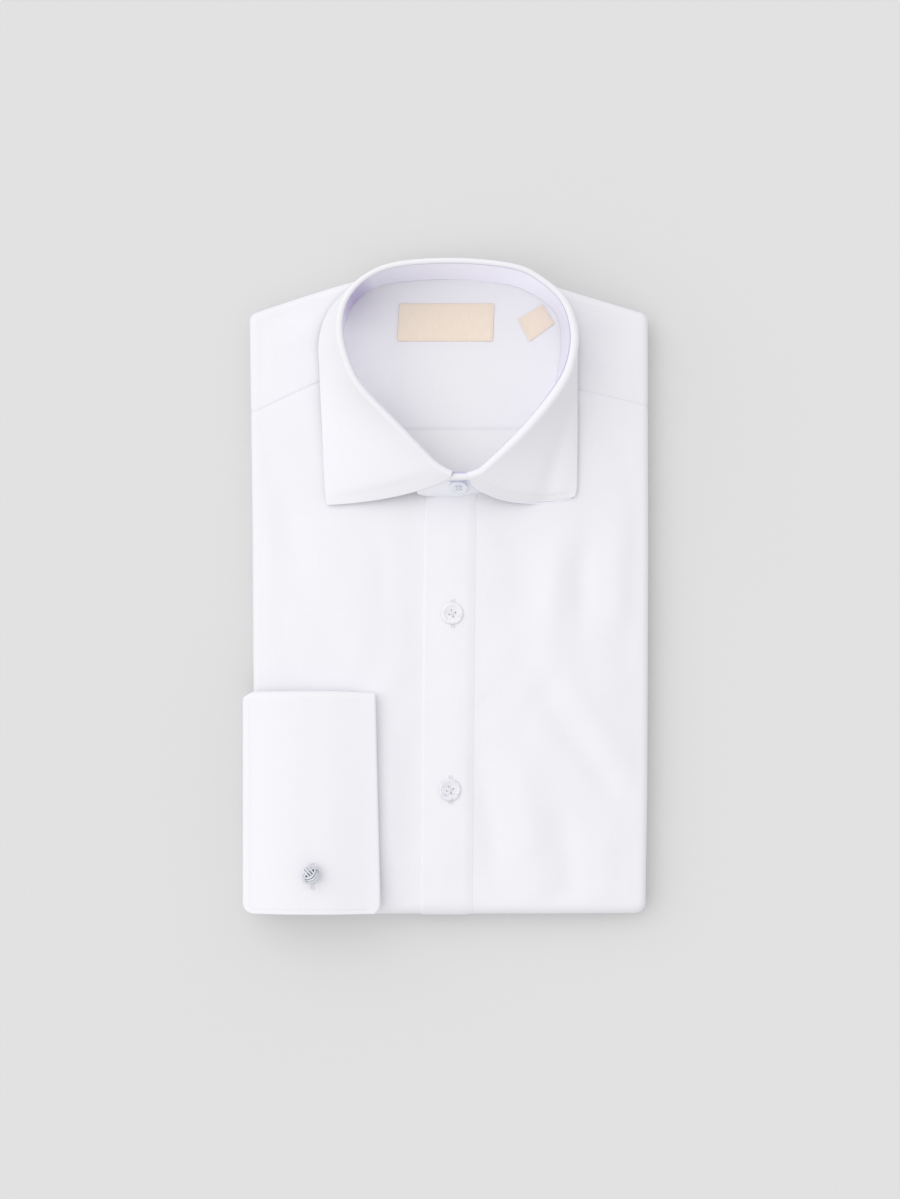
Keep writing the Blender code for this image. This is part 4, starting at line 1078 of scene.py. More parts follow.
# %% [markdown]
# ## French cuff
#
# A French cuff is twice as long as it looks: it is folded back on itself at the wrist, on the right here, and
# then the two ends meet along the lower edge, where the knot goes through all four plies. So its section one
# way is a hairpin, and the other way a flattened tube. The plate is stiff, and bends down only at its left
# end, where it follows the side of the pile.

# %% French cuff
CUFF_RIGHT_X = (-37.6, -34.9)  # wrist fold, at the cuff's top and bottom edges
CUFF_LEFT_X = -108.4  # free edge of the ply that shows
CUFF_UNDER_LEFT_X = -104.2  # free edge of the plies below
CUFF_Y = (-174.4, -53.9)
CUFF_UNDERSIDE = 22.9
CUFF_THICK = 7.2
CUFF_PLY = 1.0
PLY_APART = 1.6
CUFF_SAG = 5.5  # how far the cuff has bent down at CUFF_SAG_TO_X
CUFF_SAG_FROM_X, CUFF_SAG_TO_X = -75.0, -103.9
CUFF_CORNER = 5.6
CUFF_SLANT = (3.4, 1.2)  # at the upper left corner: along the edge, and down
CUFF_BOW = 0.6
CUFF_RIDGE = ((-104, -75), (-100, -120), (-103, -160))  # a faint trough near the free end
WRIST_CORNER = 3.4  # how far the fold is drawn in at the cuff's lower corner
CUFF_HALF = CUFF_THICK / 2
WRIST_THINS_X = (-66.0, -36.0)  # the plies are pressed flatter towards the wrist fold
WRIST_THIN = 0.28  # share of their height that goes
WRIST_DROP = 1.3  # and how far the middle comes down with it
WRIST_LOW = 1.6  # more of it at the lower edge, where the pile falls away
LINK = (-71.6, -152.3)  # where the knot goes through
PATH_RADIUS = (CUFF_THICK - PLY_APART - CUFF_PLY) / 2


def cuff_middle(x):
    """Height of the cuff's middle surface, and its slope down towards the side of the pile."""
    bend = max(0.0, (CUFF_SAG_FROM_X - x) / (CUFF_SAG_FROM_X - CUFF_SAG_TO_X))
    height = CUFF_UNDERSIDE + CUFF_HALF - CUFF_SAG * bend**2 - WRIST_DROP * smooth(x, *WRIST_THINS_X)
    return height, 2 * CUFF_SAG * bend / (CUFF_SAG_FROM_X - CUFF_SAG_TO_X)


def cuff_low_y(x):
    """The lower edge, with its round corner at the free end."""
    past = min(max(CUFF_LEFT_X + CUFF_CORNER - x, 0.0), CUFF_CORNER * 0.995)
    return CUFF_Y[0] + CUFF_CORNER - (CUFF_CORNER**2 - past**2) ** 0.5


def cuff_high_y(x):
    """The upper edge, which slants away at the free end and bows a little."""
    along_edge, down = CUFF_SLANT
    slant = down * max(0.0, (CUFF_LEFT_X + along_edge - x) / along_edge)
    bow = CUFF_BOW * (1 - sin(pi * (x - CUFF_LEFT_X) / (CUFF_RIGHT_X[0] - CUFF_LEFT_X)))
    return CUFF_Y[1] - CUFF_HALF - slant - bow - 0.5 * smooth(x, -60, CUFF_RIGHT_X[0])


def cuff_puff(x, y):
    """Soft unevenness of the fused plies."""
    low, high = CUFF_Y
    pillow = sin(pi * min(max((y - low) / (high - low), 0), 1)) * sin(pi * min(max((x + 110) / 74, 0), 1))
    dent = np.exp(-(((x - LINK[0]) / 9) ** 2) - ((y - LINK[1]) / 12) ** 2)
    ridge = np.exp(-((from_line(x, y, CUFF_RIDGE)[0] / 3.5) ** 2))
    return 0.5 * pillow - 0.35 * dent - 0.12 * ridge


def hairpin(t, free_end, half_apart):
    """(x, distance from the path) along both plies: from the free end, round the wrist fold and back."""
    wrist = CUFF_RIGHT_X[1] + (CUFF_RIGHT_X[0] - CUFF_RIGHT_X[1]) * t - half_apart - CUFF_PLY / 2
    wrist -= WRIST_CORNER * max(0.0, 1 - t / 0.046) ** 2
    shares = np.linspace(0, 1, 34) ** 1.15
    inner_end = CUFF_UNDER_LEFT_X + 3
    line = [(free_end + (wrist - free_end) * share, half_apart) for share in shares]
    line += [(wrist + half_apart * sin(a), half_apart * cos(a)) for a in np.linspace(0, pi, 7)[1:-1]]
    return line + [(inner_end + (wrist - inner_end) * share, -half_apart) for share in shares[::-2]]


def cuff_shape():
    around = [(t, 1.0, 0.0, 1.0) for t in (0, 0.008, 0.018, 0.03, *np.linspace(0.046, 1, 40))]
    around += [(1.0, cos(a), sin(a), cos(a)) for a in np.linspace(0, pi, 13)[1:-1]]
    around += [(t, -1.0, 0.0, -1.0) for t in np.linspace(1, 0, 24)]
    half_apart = PLY_APART / 2
    shape = []
    for t, across, out_y, out_z in around:
        free_end = CUFF_LEFT_X + (CUFF_UNDER_LEFT_X - CUFF_LEFT_X) * smooth(-across, -0.98, -0.4)
        row = []
        for place, ply in hairpin(t, free_end, half_apart):
            low, far = cuff_low_y(place), cuff_high_y(place)
            y = low + (far - low) * t + (1.1 * (1 - t) if across < 0 else 0)
            middle, slope = cuff_middle(place)
            normal = np.array((-slope, 0, 1)) / hypot(slope, 1)
            puff = cuff_puff(place, y) if across > 0 else 0
            pressed = smooth(place, *WRIST_THINS_X)
            away = (PATH_RADIUS * across + out_z * ply) * (1 - WRIST_THIN * pressed) + puff
            point = np.array((place, y, middle)) + normal * away
            point[2] -= WRIST_LOW * pressed * smooth(-y, 70, 172)
            point[1] += out_y * (PATH_RADIUS + ply)
            row.append(point)
        shape.append(row)
    return np.asarray(shape)


CUFF = cuff_shape()
cuff_piece = sheet("cuff_folded", flipped(CUFF), FUSED, CUFF_PLY,
                   replaces=["french_cuff"])
cuff_piece.modifiers["thickness"].offset = 0

# %% [markdown]
# The sleeve comes out of the cuff's open end, turns down round the side of the pile, and is tucked in under
# the front's rolled edge. It is a flat tube, so its grid closes on itself.

# %% Sleeve
SLEEVE_OUTER_X = -108.9
SLEEVE_START_X = -102.0
SLEEVE_THIN = 2.5  # its thickness once it is clear of the cuff
SLEEVE_CLOTH = 0.6
SLEEVE_TUCK_Z = 7.9  # it turns in under the front's roll from here down
SLEEVE_TUCK_RADIUS = 3.4
SLEEVE_TUCK_RUN = 3.4
SLEEVE_LOWER_TAPER = ((0, 2.6), (0.4, 4.5), (1, 10.5))  # share of the way, drawn in from the cuff's edge
SLEEVE_UPPER_TAPER = ((0, 2.4), (0.4, 4.0), (1, 6.0))
STEEPER = 1.35  # makes the sleeve's section a flat tube instead of an ellipse


def sleeve_stations():
    """(x and z, heading) along the sleeve's middle, from the cuff's end to the tuck."""
    middle, slope = cuff_middle(SLEEVE_START_X)
    place, heading = np.array((SLEEVE_START_X, middle)), atan2(slope, 1)
    vertical_x = SLEEVE_OUTER_X + SLEEVE_THIN / 2
    stations = [(place, heading)]
    turns = (
        (pi / 2, (place[0] - vertical_x) / (1 - sin(heading)), 10, None),
        (pi / 2, 0, 6, SLEEVE_TUCK_Z),
        (pi, SLEEVE_TUCK_RADIUS, 8, None),
        (pi, 0, 3, None),
    )
    for goal, radius, steps, down_to in turns:
        start = heading
        length = 0 if radius else (place[1] - down_to if down_to else SLEEVE_TUCK_RUN)
        for step in range(1, steps + 1):
            now = start + (goal - start) * step / steps
            bend = radius * np.array((sin(heading) - sin(now), cos(now) - cos(heading)))
            place = place + bend - length / steps * np.array((cos(now), sin(now)))
            heading = now
            stations.append((place, heading))
    return stations


def sleeve_shape():
    """A flat tube: a row for each direction round it, a column for each place along it."""
    stations = sleeve_stations()
    shape = []
    for angle in np.linspace(0, 2 * pi, 73):
        row = []
        for index, ((x, z), way) in enumerate(stations):
            share = index / (len(stations) - 1)
            inside_cuff = 2 * (PATH_RADIUS - PLY_APART / 2) - CUFF_PLY - 0.3
            half = (SLEEVE_THIN + (inside_cuff - SLEEVE_THIN) * max(0, 1 - share * 3)) / 2
            low = CUFF_Y[0] + along(SLEEVE_LOWER_TAPER, share)
            high = CUFF_Y[1] - along(SLEEVE_UPPER_TAPER, share)
            flat = (high - low) / 2 - half
            across = min(max(cos(angle) * STEEPER, -1), 1)
            y = (high + low) / 2 + across * flat + half * cos(angle)
            away = half * min(max(sin(angle) * STEEPER, -1), 1)
            ripple = 0.25 * sin(y / 7 + 2 * share) * smooth(share, 0.2, 0.5)
            row.append(np.array((x - sin(way) * (away + ripple), y, z + cos(way) * (away + ripple))))
        shape.append(row)
    return shape


sheet("sleeve_end", sleeve_shape(), WHITE, SLEEVE_CLOTH, ring=True,
      replaces=["sleeve"])

# %% [markdown]
# ## Silk knot
#
# The link is a pair of small knots on an elastic cord. Such a knot is a monkey's fist: three bands of three
# cords lie round a ball at right angles, and each band passes over the second one and under the third. A cord
# that does so is an ellipse, long where it is on top and short where it dives, so no weaving is needed: nine
# ellipses, moved along three axes in turn, lock into each other by themselves.

# %% Silk cord
KNOT_CORD = 1.1  # thickness of one cord
KNOT_APART = 1.5  # from one cord of a band to the next
KNOT_BAND = 3  # cords in a band
KNOT_BALL = 4.35  # radius on which the cords lie
KNOT_WEAVE = 0.62  # how far a band rises over the ball on top, and sinks where it dives
KNOT_CORNER_AWAY, KNOT_CORNER_HEADING = radians(33), radians(-125)  # the gap where three bands meet
KNOT_SPIN = radians(40)  # of the bands about that gap
KNOT_ROLL = radians(-35)  # and then of the whole knot on the cuff
CUFF_TOP = CUFF_UNDERSIDE + CUFF_THICK


def silk(name, light, dark, roughness=0.36):
    """Lustrous thread: fine uneven lines and a soft sheen."""
    made, tree, shader = finish_of(name, roughness, sheen=0.5)
    grain = noise(tree, object_place(tree), 2600, 1.0, (1, 0.35, 0.6))
    tone = (grain * 2 - 0.5).clamped()
    tree.links.new(blended(tree, tone, dark, light).socket, shader.inputs["Base Color"])
    bumped(tree, shader, grain, 0.04)
    return made


SILK = silk("grey blue silk", (0.84, 0.85, 0.89), (0.62, 0.645, 0.71))
KNOT_GAP_SHADE = silk("painted shade between the cords", (0.05, 0.052, 0.065), (0.02, 0.022, 0.03))


def tube(name, lines, radius, look, closed=True):
    """Round cords along chains of points, as one piece."""
    data = bpy.data.curves.new(name, "CURVE")
    data.dimensions = "3D"
    data.bevel_depth, data.bevel_resolution, data.use_fill_caps = radius * MM, 2, not closed
    for line in lines:
        spline = data.splines.new("POLY")
        spline.points.add(len(line) - 1)
        for point, place in zip(spline.points, line):
            point.co = (*(Vector(place) * MM), 1)
        spline.use_cyclic_u = closed
        spline.use_smooth = True
    curve = bpy.data.objects.new(name, data)
    mesh = bpy.data.meshes.new_from_object(curve)
    bpy.data.objects.remove(curve)
    return add_piece(name, mesh, look)


def knot_turn():
    """The turn that brings the gap between three bands to where it shows."""
    slant, heading = sin(KNOT_CORNER_AWAY), KNOT_CORNER_HEADING
    corner = Vector((slant * cos(heading), slant * sin(heading), cos(KNOT_CORNER_AWAY)))
    brought = Vector((1, 1, 1)).normalized().rotation_difference(corner).to_matrix()
    return np.array(Matrix.Rotation(KNOT_ROLL, 3, "Z") @ Matrix.Rotation(KNOT_SPIN, 3, corner) @ brought)


def knot_lines(centre, squash, turn):
    """The closed cords of a monkey's fist."""
    turns = np.linspace(0, 2 * pi, 72, endpoint=False)
    lines = []
    for axis in range(3):
        for cord in range(KNOT_BAND):
            aside = (cord - (KNOT_BAND - 1) / 2) * KNOT_APART
            shrink = (KNOT_BALL**2 - aside**2) ** 0.5 / KNOT_BALL
            line = np.zeros((len(turns), 3))
            line[:, axis] = aside
            line[:, (axis + 2) % 3] = (KNOT_BALL + KNOT_WEAVE) * shrink * np.cos(turns)
            line[:, (axis + 1) % 3] = (KNOT_BALL - KNOT_WEAVE) * shrink * np.sin(turns)
            lines.append(line @ turn.T * (1, 1, squash) + centre)
    return lines


def ball(name, centre, radius, squash, look):
    edit = bmesh.new()
    bmesh.ops.create_uvsphere(edit, u_segments=32, v_segments=16, radius=radius * MM)
    bmesh.ops.scale(edit, vec=(1, 1, squash), verts=edit.verts)
    bmesh.ops.translate(edit, vec=Vector(centre) * MM, verts=edit.verts)
    for face in edit.faces:
        face.smooth = True
    return add_piece(name, mesh_of(name, edit), look)


KNOT_CENTRE = np.array((LINK[0] - 0.7, LINK[1] + 0.3, CUFF_TOP + 4.6))
UNDER_KNOT = np.array((*LINK, (dome(*LINK) + CUFF_UNDERSIDE) / 2))
UNDER_SQUASH = 0.2
knot = tube("knot_cords", knot_lines(KNOT_CENTRE, 0.95, knot_turn()), KNOT_CORD / 2, SILK)
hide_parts("cufflink_knot")
# The near-black balls inside the cords are painted shade that darkens the gaps between them.
ball("knot_core", KNOT_CENTRE, KNOT_BALL - 0.5, 0.95, KNOT_GAP_SHADE)
tube("knot_cords_under", knot_lines(UNDER_KNOT, UNDER_SQUASH, knot_turn()), 0.2, SILK)
ball("knot_core_under", UNDER_KNOT, KNOT_BALL, UNDER_SQUASH, KNOT_GAP_SHADE)
shank = [(*LINK, UNDER_KNOT[2]), (*LINK, CUFF_UNDERSIDE), (*LINK, CUFF_TOP), KNOT_CENTRE]
tube("knot_shank", [shank], 0.8, SILK, closed=False)
print(f"the knot stands {KNOT_CENTRE[2] + KNOT_BALL - CUFF_TOP:.1f} mm over the cuff")

# %% [markdown]
# ## Lavender edge
#
# The lining is turned over the top of the band, so a thin darker line of it shows all round the neck. A paler
# line, a painted highlight, runs under the front edge of the wearer's left leaf, and over the collar button a
# white roll has a short dark line below it. Each is a cord about a millimetre thick or less, but for the
# roll.

# %% Lavender edge of the lining
EDGE_THICK = 0.84
EDGE_INWARD = 0.42  # how far the cord's middle lies inside the lining's face
SEAM_OUT, SEAM_RADIUS = 1.1, 0.95
ROLL_RADIUS = 2.1
HIGHLIGHT_RADIUS, DARK_LINE_RADIUS = 0.36, 0.34
HIGHLIGHT_SHIFT = np.array((0, -0.42, -0.3))  # from the leaf's front edge
FRONT_MIDDLE_X = 6
# The pale cord under the leaf's front edge is a painted highlight of that edge's lit rim.
EDGE_HIGHLIGHT = woven("pale lavender painted highlight", (0.87, 0.87, 0.96), (0.84, 0.84, 0.94), hand=0.02)
PAINTED_LIGHT = (  # look, colour, strength
    (EDGE_HIGHLIGHT, (0.88, 0.88, 0.98, 1), 0.16),
    (EDGE, (0.45, 0.42, 0.66, 1), 0.12),
)
for look, colour, strength in PAINTED_LIGHT:
    lit = look.node_tree.nodes["Principled BSDF"].inputs
    lit["Emission Color"].default_value = colour
    lit["Emission Strength"].default_value = strength


def front_line(first_x, last_x, count, y, slope, height):
    """A straight chain of points across the front end of the band."""
    return [(x, y + slope * (x - FRONT_MIDDLE_X), height) for x in np.linspace(first_x, last_x, count)]


edge_line = BAND[:, -1] + BAND_UP * LINING_TOP - BAND_OUT * EDGE_INWARD
tube("lining_edge", [edge_line], EDGE_THICK / 2, EDGE)
tube("band_seam", [BAND[:, -1] + BAND_OUT * SEAM_OUT], SEAM_RADIUS, WHITE)
roll_line = front_line(-0.4, 13, 14, 60.9, 0.02, 40.2)
tube("band_top", [roll_line], ROLL_RADIUS, WHITE, closed=False)
under_leaf = LEAF[-1, FOLD_STEPS + 2 : -1] + HIGHLIGHT_SHIFT
tube("leaf_edge_highlight", [under_leaf], HIGHLIGHT_RADIUS, EDGE_HIGHLIGHT, closed=False)
# A short dark lavender cord lies in the gap under the roll, over the collar button.
dark_line = front_line(2.1, 11.6, 12, 58.5, 0.04, 39.2)
tube("band_dark_line", [dark_line], DARK_LINE_RADIUS, EDGE, closed=False)
print(f"lavender edge: {lengths_along(edge_line)[-1]:.0f} mm round the neck")

# %% [markdown]
# ## Labels
#
# A woven label is satin ribbon, cut to length and folded under at its ends, so those ends are a little
# thicker. Both labels here are bare. Each is a patch between its four corners, and none of them is square.

# %% Neck label and size tab
LABEL_CORNERS = ((-26.4, 135.2), (25.6, 135.2), (26.6, 156.0), (-25.1, 156.0))
TAB_CORNERS = ((45.4, 134.9), (59.1, 144.8), (52.8, 155.4), (39.3, 147.6))
LABEL_CLOTH = 0.35
LABEL_LIFT = 0.45  # its face over the inner yoke's
LABEL_SEAM = 1.1  # its stitches run this far inside its edges
LABEL_RIB = 0.55  # from one line of the satin to the next


def satin(name, light, dark):
    """Ribbon satin: long floats in fine lines across it, with a silky sheen."""
    made, tree, shader = finish_of(name, 0.5, sheen=0.5)
    place = cloth_place(tree)
    across, _ = x_and_y(tree, place)
    ribs = (across * (2 * pi / (LABEL_RIB * MM))).sine() * 0.5 + 0.5
    threads = noise(tree, place, 160, 2.0, (9, 1, 1))
    tone = (threads * 1.2 + ribs * 0.35 - 0.3).clamped()
    tree.links.new(blended(tree, tone, dark, light).socket, shader.inputs["Base Color"])
    bumped(tree, shader, ribs * 0.5 + threads * 0.5, 0.05)
    return made


CREAM = satin("cream label satin", (0.925, 0.81, 0.69), (0.85, 0.72, 0.585))


def patch(corners, rows, columns, lift):
    """Points between four corners, on the inner yoke, with the ends that are folded under a little higher."""
    low_left, low_right, high_right, high_left = (np.array(corner) for corner in corners)
    shape = []
    for down in np.linspace(0, 1, rows):
        row = []
        for across in np.linspace(0, 1, columns):
            low = low_left + (low_right - low_left) * across
            place = low + (high_left + (high_right - high_left) * across - low) * down
            ends = 0.18 * (1 - smooth(min(across, 1 - across), 0.06, 0.12))
            wave = 0.12 * sin(across * 9 + down * 2) * sin(down * pi)
            row.append(inner_face(*place, lift + ends + wave))
        shape.append(row)
    return np.asarray(shape)


LABELS = {"neck_label": LABEL_CORNERS, "size_tab": TAB_CORNERS}
LABEL_SHAPES = {}
for name, corners in LABELS.items():
    LABEL_SHAPES[name] = patch(corners, 14, 30, YOKE_FACE + LABEL_LIFT)
    sheet(f"{name}_ribbon", LABEL_SHAPES[name], CREAM, LABEL_CLOTH,
          replaces=[name])

# %% [markdown]
# ## Stitches
#
# Every seam of a good shirt is a row of short, slightly sunk stitches. There are hundreds, so each is a small
# capsule with a few dozen faces, made straight into its place by the sphere operator's matrix. A row follows
# a chain of points that is read from the piece's own shape, so it never leaves the cloth.

# %% Stitches along a seam
STITCH = 1.9
STITCH_GAP = 0.55
THREAD_THICK = 0.3
STITCH_RAISED = 0.04  # how far the middle of the thread lies over the cloth
THREAD_WHITE = silk("white thread", (0.85, 0.84, 0.89), (0.76, 0.75, 0.80), roughness=0.5)
THREAD_CREAM = silk("cream thread", (0.89, 0.89, 0.84), (0.80, 0.80, 0.73), roughness=0.5)


def capsules(name, ends, thick, look):
    """Many short threads, each from one point to another, as one piece."""
    edit = bmesh.new()
    for start, stop in ends:
        run = Vector(stop - start)
        middle = Matrix.Translation(Vector((start + stop) / 2) * MM)
        turn = run.to_track_quat("Z", "Y").to_matrix().to_4x4()
        longer = Matrix.Diagonal((1, 1, max(run.length / thick, 1), 1))
        spot = middle @ turn @ longer
        bmesh.ops.create_uvsphere(edit, u_segments=6, v_segments=4, radius=thick / 2 * MM, matrix=spot)
    for face in edit.faces:
        face.smooth = True
    return add_piece(name, mesh_of(name, edit), look)


def spot_on(shape, row, column):
    """The point of a shape at a row and a column that may lie between its own."""
    row, column = min(max(row, 0), len(shape) - 1.001), min(max(column, 0), shape.shape[1] - 1.001)
    r, c = int(row), int(column)
    down, across = row - r, column - c
    near = shape[r, c] * (1 - across) + shape[r, c + 1] * across
    far = shape[r + 1, c] * (1 - across) + shape[r + 1, c + 1] * across
    return near * (1 - down) + far * down


def stitched(line):
    """(start, stop) of each stitch along a chain of points."""
    line = np.asarray(line)
    lengths = lengths_along(line)

    def point_at(length):
        return np.array([np.interp(length, lengths, line[:, axis]) for axis in range(3)])

    starts = np.arange(STITCH_GAP, lengths[-1] - STITCH, STITCH + STITCH_GAP)
    return [(point_at(start), point_at(start + STITCH)) for start in starts]


def at_length(points, length):
    """The place in a chain, in steps, that lies a length along it."""
    return float(np.interp(length, lengths_along(points), range(len(points))))


def raised(shape):
    return moved_out(shape, STITCH_RAISED)


# %% Stitch rows
LEAF_SEAM = 5.8  # from the leaf's free edges
PLACKET_SEAM = 1.6
YOKE_SEAM = 1.5
CUFF_SEAM = 5.0


def leaf_seam():
    """Up one front edge, round the free edge and down the other front edge."""
    face = raised(LEAF)
    inner = [at_length(section[::-1], LEAF_SEAM) for section in LEAF]
    last = LEAF.shape[1] - 1
    line = []
    for end in 0, 1:
        along_column = [LEAF[:, column] if end == 0 else LEAF[::-1, column] for column in range(last + 1)]
        columns = np.arange(FOLD_STEPS + 4, last - inner[-end] + 0.01, 0.5)
        part = []
        for column in columns:
            row = at_length(along_column[int(column)], LEAF_SEAM)
            part.append(spot_on(face, row if end == 0 else len(LEAF) - 1 - row, column))
        line.append(part)
    corner_rows = [at_length(LEAF[:, -3], LEAF_SEAM), len(LEAF) - 1 - at_length(LEAF[::-1, -3], LEAF_SEAM)]
    side = [spot_on(face, row, last - inner[int(row)]) for row in np.arange(*corner_rows, 0.5)]
    return line[0] + side + line[1][::-1]


def row_line(shape, row_length, columns, backwards=False):
    """A line beside a shape's first or last row, at a fixed length from it."""
    face = raised(shape)
    line = []
    for column in columns:
        chain = shape[::-1, column] if backwards else shape[:, column]
        row = at_length(chain, row_length)
        line.append(spot_on(face, len(shape) - 1 - row if backwards else row, column))
    return line


placket_face = np.asarray(placket_shape())
yoke_face = flipped(YOKE)
seam_lines = {
    "leaf_stitches": leaf_seam(),
    "placket_stitches": [spot_on(raised(placket_face), row, at_length(placket_face[row], PLACKET_SEAM))
                         for row in range(len(placket_face) - 4)],
    "yoke_stitches_left": row_line(yoke_face, YOKE_SEAM, range(3, yoke_face.shape[1] - 1)),
    "yoke_stitches_right": row_line(yoke_face, YOKE_SEAM, range(3, yoke_face.shape[1] - 1), backwards=True),
    "inner_yoke_stitches": row_line(np.asarray(inner_yoke_shape), 1.6, range(12, 48)),
    "stand_stitches": [spot_on(raised(stand_shape), row, 0.7) for row in range(len(stand_shape) - 1)],
}
for name, line in seam_lines.items():
    capsules(name, stitched(line), THREAD_THICK, THREAD_WHITE)

CUFF_FACE = raised(CUFF)
cuff_column = at_length(CUFF[20], CUFF_SEAM)
cuff_row = at_length(CUFF[:44, 16], CUFF_SEAM - 2)
cuff_line = [spot_on(CUFF_FACE, row, cuff_column) for row in np.arange(43, cuff_row, -0.5)]
cuff_line += [spot_on(CUFF_FACE, cuff_row, column) for column in np.arange(cuff_column, 32, 0.5)]
cuff_line = np.asarray(cuff_line) + UP * CUFF_PLY / 2
capsules("cuff_stitches", stitched(cuff_line), THREAD_THICK, THREAD_WHITE)
for name, shape in LABEL_SHAPES.items():
    face = raised(shape)
    border = []
    rows, columns = shape.shape[:2]
    inset_row = at_length(shape[:, columns // 2], LABEL_SEAM)
    inset_column = at_length(shape[rows // 2], LABEL_SEAM)
    far_row, far_column = rows - 1 - inset_row, columns - 1 - inset_column
    corners = (
        (inset_row, inset_column), (inset_row, far_column), (far_row, far_column), (far_row, inset_column),
    )
    for (row, column), (next_row, next_column) in zip(corners, corners[1:] + corners[:1]):
        for t in np.linspace(0, 1, 24, endpoint=False):
            border.append(spot_on(face, row + (next_row - row) * t, column + (next_column - column) * t))
    capsules(f"{name}_stitches", stitched(border), 0.22, CREAM)

# %% [markdown]
# ## Buttonholes
#
# A buttonhole is a slit between two walls of satin stitch, with a bar across each end. The walls are threads
# side by side, so a loop lays them one by one across a line on the cloth.

# %% Buttonholes
HOLE_THREAD = 0.34
HOLE_HALF_WIDE = 1.25  # from the middle of the slit to the outside of a wall
FRONT_HOLE, CUFF_HOLE = 14.4, 13.4
SLIT_DARK = silk("shaded slit", (0.80, 0.79, 0.83), (0.72, 0.71, 0.75), roughness=0.9)


def buttonhole(name, face_at, middle, long):
    """Satin stitches on both sides of a slit that runs along Y, and a bar across each end."""
    x, y = middle
    walls, bars = [], []
    for at in np.arange(-long / 2, long / 2, HOLE_THREAD * 0.9):
        for side in (-1, 1):
            near, far = face_at(x + side * 0.28, y + at), face_at(x + side * HOLE_HALF_WIDE, y + at)
            walls.append((near, far))
    for end in (-1, 1):
        for bar in range(3):
            at = y + end * (long / 2 + bar * HOLE_THREAD * 0.85)
            bars.append((face_at(x - HOLE_HALF_WIDE - 0.1, at), face_at(x + HOLE_HALF_WIDE + 0.1, at)))
    capsules(f"{name}_walls", walls, HOLE_THREAD, THREAD_WHITE)
    capsules(f"{name}_bars", bars, HOLE_THREAD, THREAD_CREAM)
    slit = [face_at(x, y + at) - UP * 0.1 for at in np.linspace(-long / 2 + 0.4, long / 2 - 0.4, 12)]
    tube(f"{name}_slit", [slit], 0.2, SLIT_DARK, closed=False)


def on_placket(x, y):
    share = (x - along(PLACKET_LEFT, y)) / PLACKET_WIDTH
    return on_top(x, y, placket_rise(share) + 0.03)


def on_cuff(x, y):
    middle, _ = cuff_middle(x)
    return np.array((x, y, middle + PATH_RADIUS + PLY_APART / 2 + CUFF_PLY / 2 + cuff_puff(x, y) + 0.03))


BUTTONS_XY = ((3.7, -12.2), (2.4, -107.6))
for index, (x, y) in enumerate(BUTTONS_XY, 1):
    buttonhole(f"front_buttonhole_{index}", on_placket, (x + 0.3, y), FRONT_HOLE)
buttonhole("cuff_buttonhole", on_cuff, (LINK[0], LINK[1] - 1.4), CUFF_HOLE)

# %% [markdown]
# ## Buttons
#
# These are turned from shell: a raised rim, a dish, and a flat floor with four holes. Spinning a short
# profile gives the blank, and a Boolean drills it. Shell is cloudy, with grey and rose where its layers come
# up, so its colour mixes two soft noises, and a thin clear coat makes it glossy.

# %% Shell
BUTTON_PROFILE = (  # share of the radius, height
    (0.0, 0.0), (0.80, 0.0), (0.95, 0.25), (1.0, 0.5), (0.985, 0.8), (0.93, 1.06), (0.85, 1.15),
    (0.77, 1.1), (0.70, 0.97), (0.60, 0.88), (0.40, 0.85), (0.0, 0.85),
)
HOLE_WIDE = 1.0
HOLE_FROM_MIDDLE = 1.65
HOLE_TURN = radians(17)
FRONT_BUTTON, COLLAR_BUTTON = 12.0, 9.6


def shell(name, light, cloud, rose, amount):
    made, tree, shader = finish_of(name, 0.2, coat=0.7, subsurface=0.15)
    shader.inputs["Subsurface Radius"].default_value = (0.002, 0.002, 0.0022)
    shader.inputs["Subsurface Scale"].default_value = 1.0
    place = object_place(tree)
    grey = (noise(tree, place, 210, 3.0, (1, 1.7, 1)) * 5 - 2.6).clamped() * amount
    warm = (noise(tree, place, 330, 2.0, (1.6, 1, 1)) * 6 - 3.5).clamped()
    mixer = node(tree, "ShaderNodeMix", {"data_type": "RGBA"}, {0: grey, 7: (*cloud, 1)})
    tree.links.new(blended(tree, warm * 0.6, light, rose).socket, mixer.inputs[6])
    tree.links.new(mixer.outputs[2], shader.inputs["Base Color"])
    return made


SHELLS = {
    "front_button_1": shell(
        "clear shell", (0.84, 0.838, 0.868), (0.66, 0.665, 0.72), (0.87, 0.85, 0.85), 0.7
    ),
    "front_button_2": shell("grey shell", (0.79, 0.79, 0.84), (0.56, 0.57, 0.68), (0.82, 0.78, 0.85), 0.8),
    "collar_button": shell("blue shell", (0.82, 0.85, 0.93), (0.66, 0.70, 0.84), (0.86, 0.87, 0.94), 0.6),
}


# Discs that lie in the buttons' holes, brown, grey and blue. The grey ones are painted shade in the holes.
BROWN_HOLE_FLOOR = silk("brown hole floor", (0.42, 0.20, 0.10), (0.30, 0.13, 0.06), roughness=0.6)
GREY_HOLE_SHADE = silk("grey painted hole shade", (0.24, 0.24, 0.27), (0.16, 0.16, 0.18), roughness=0.6)
BLUE_HOLE_FLOOR = silk("blue hole floor", (0.76, 0.80, 0.90), (0.68, 0.72, 0.84), roughness=0.6)


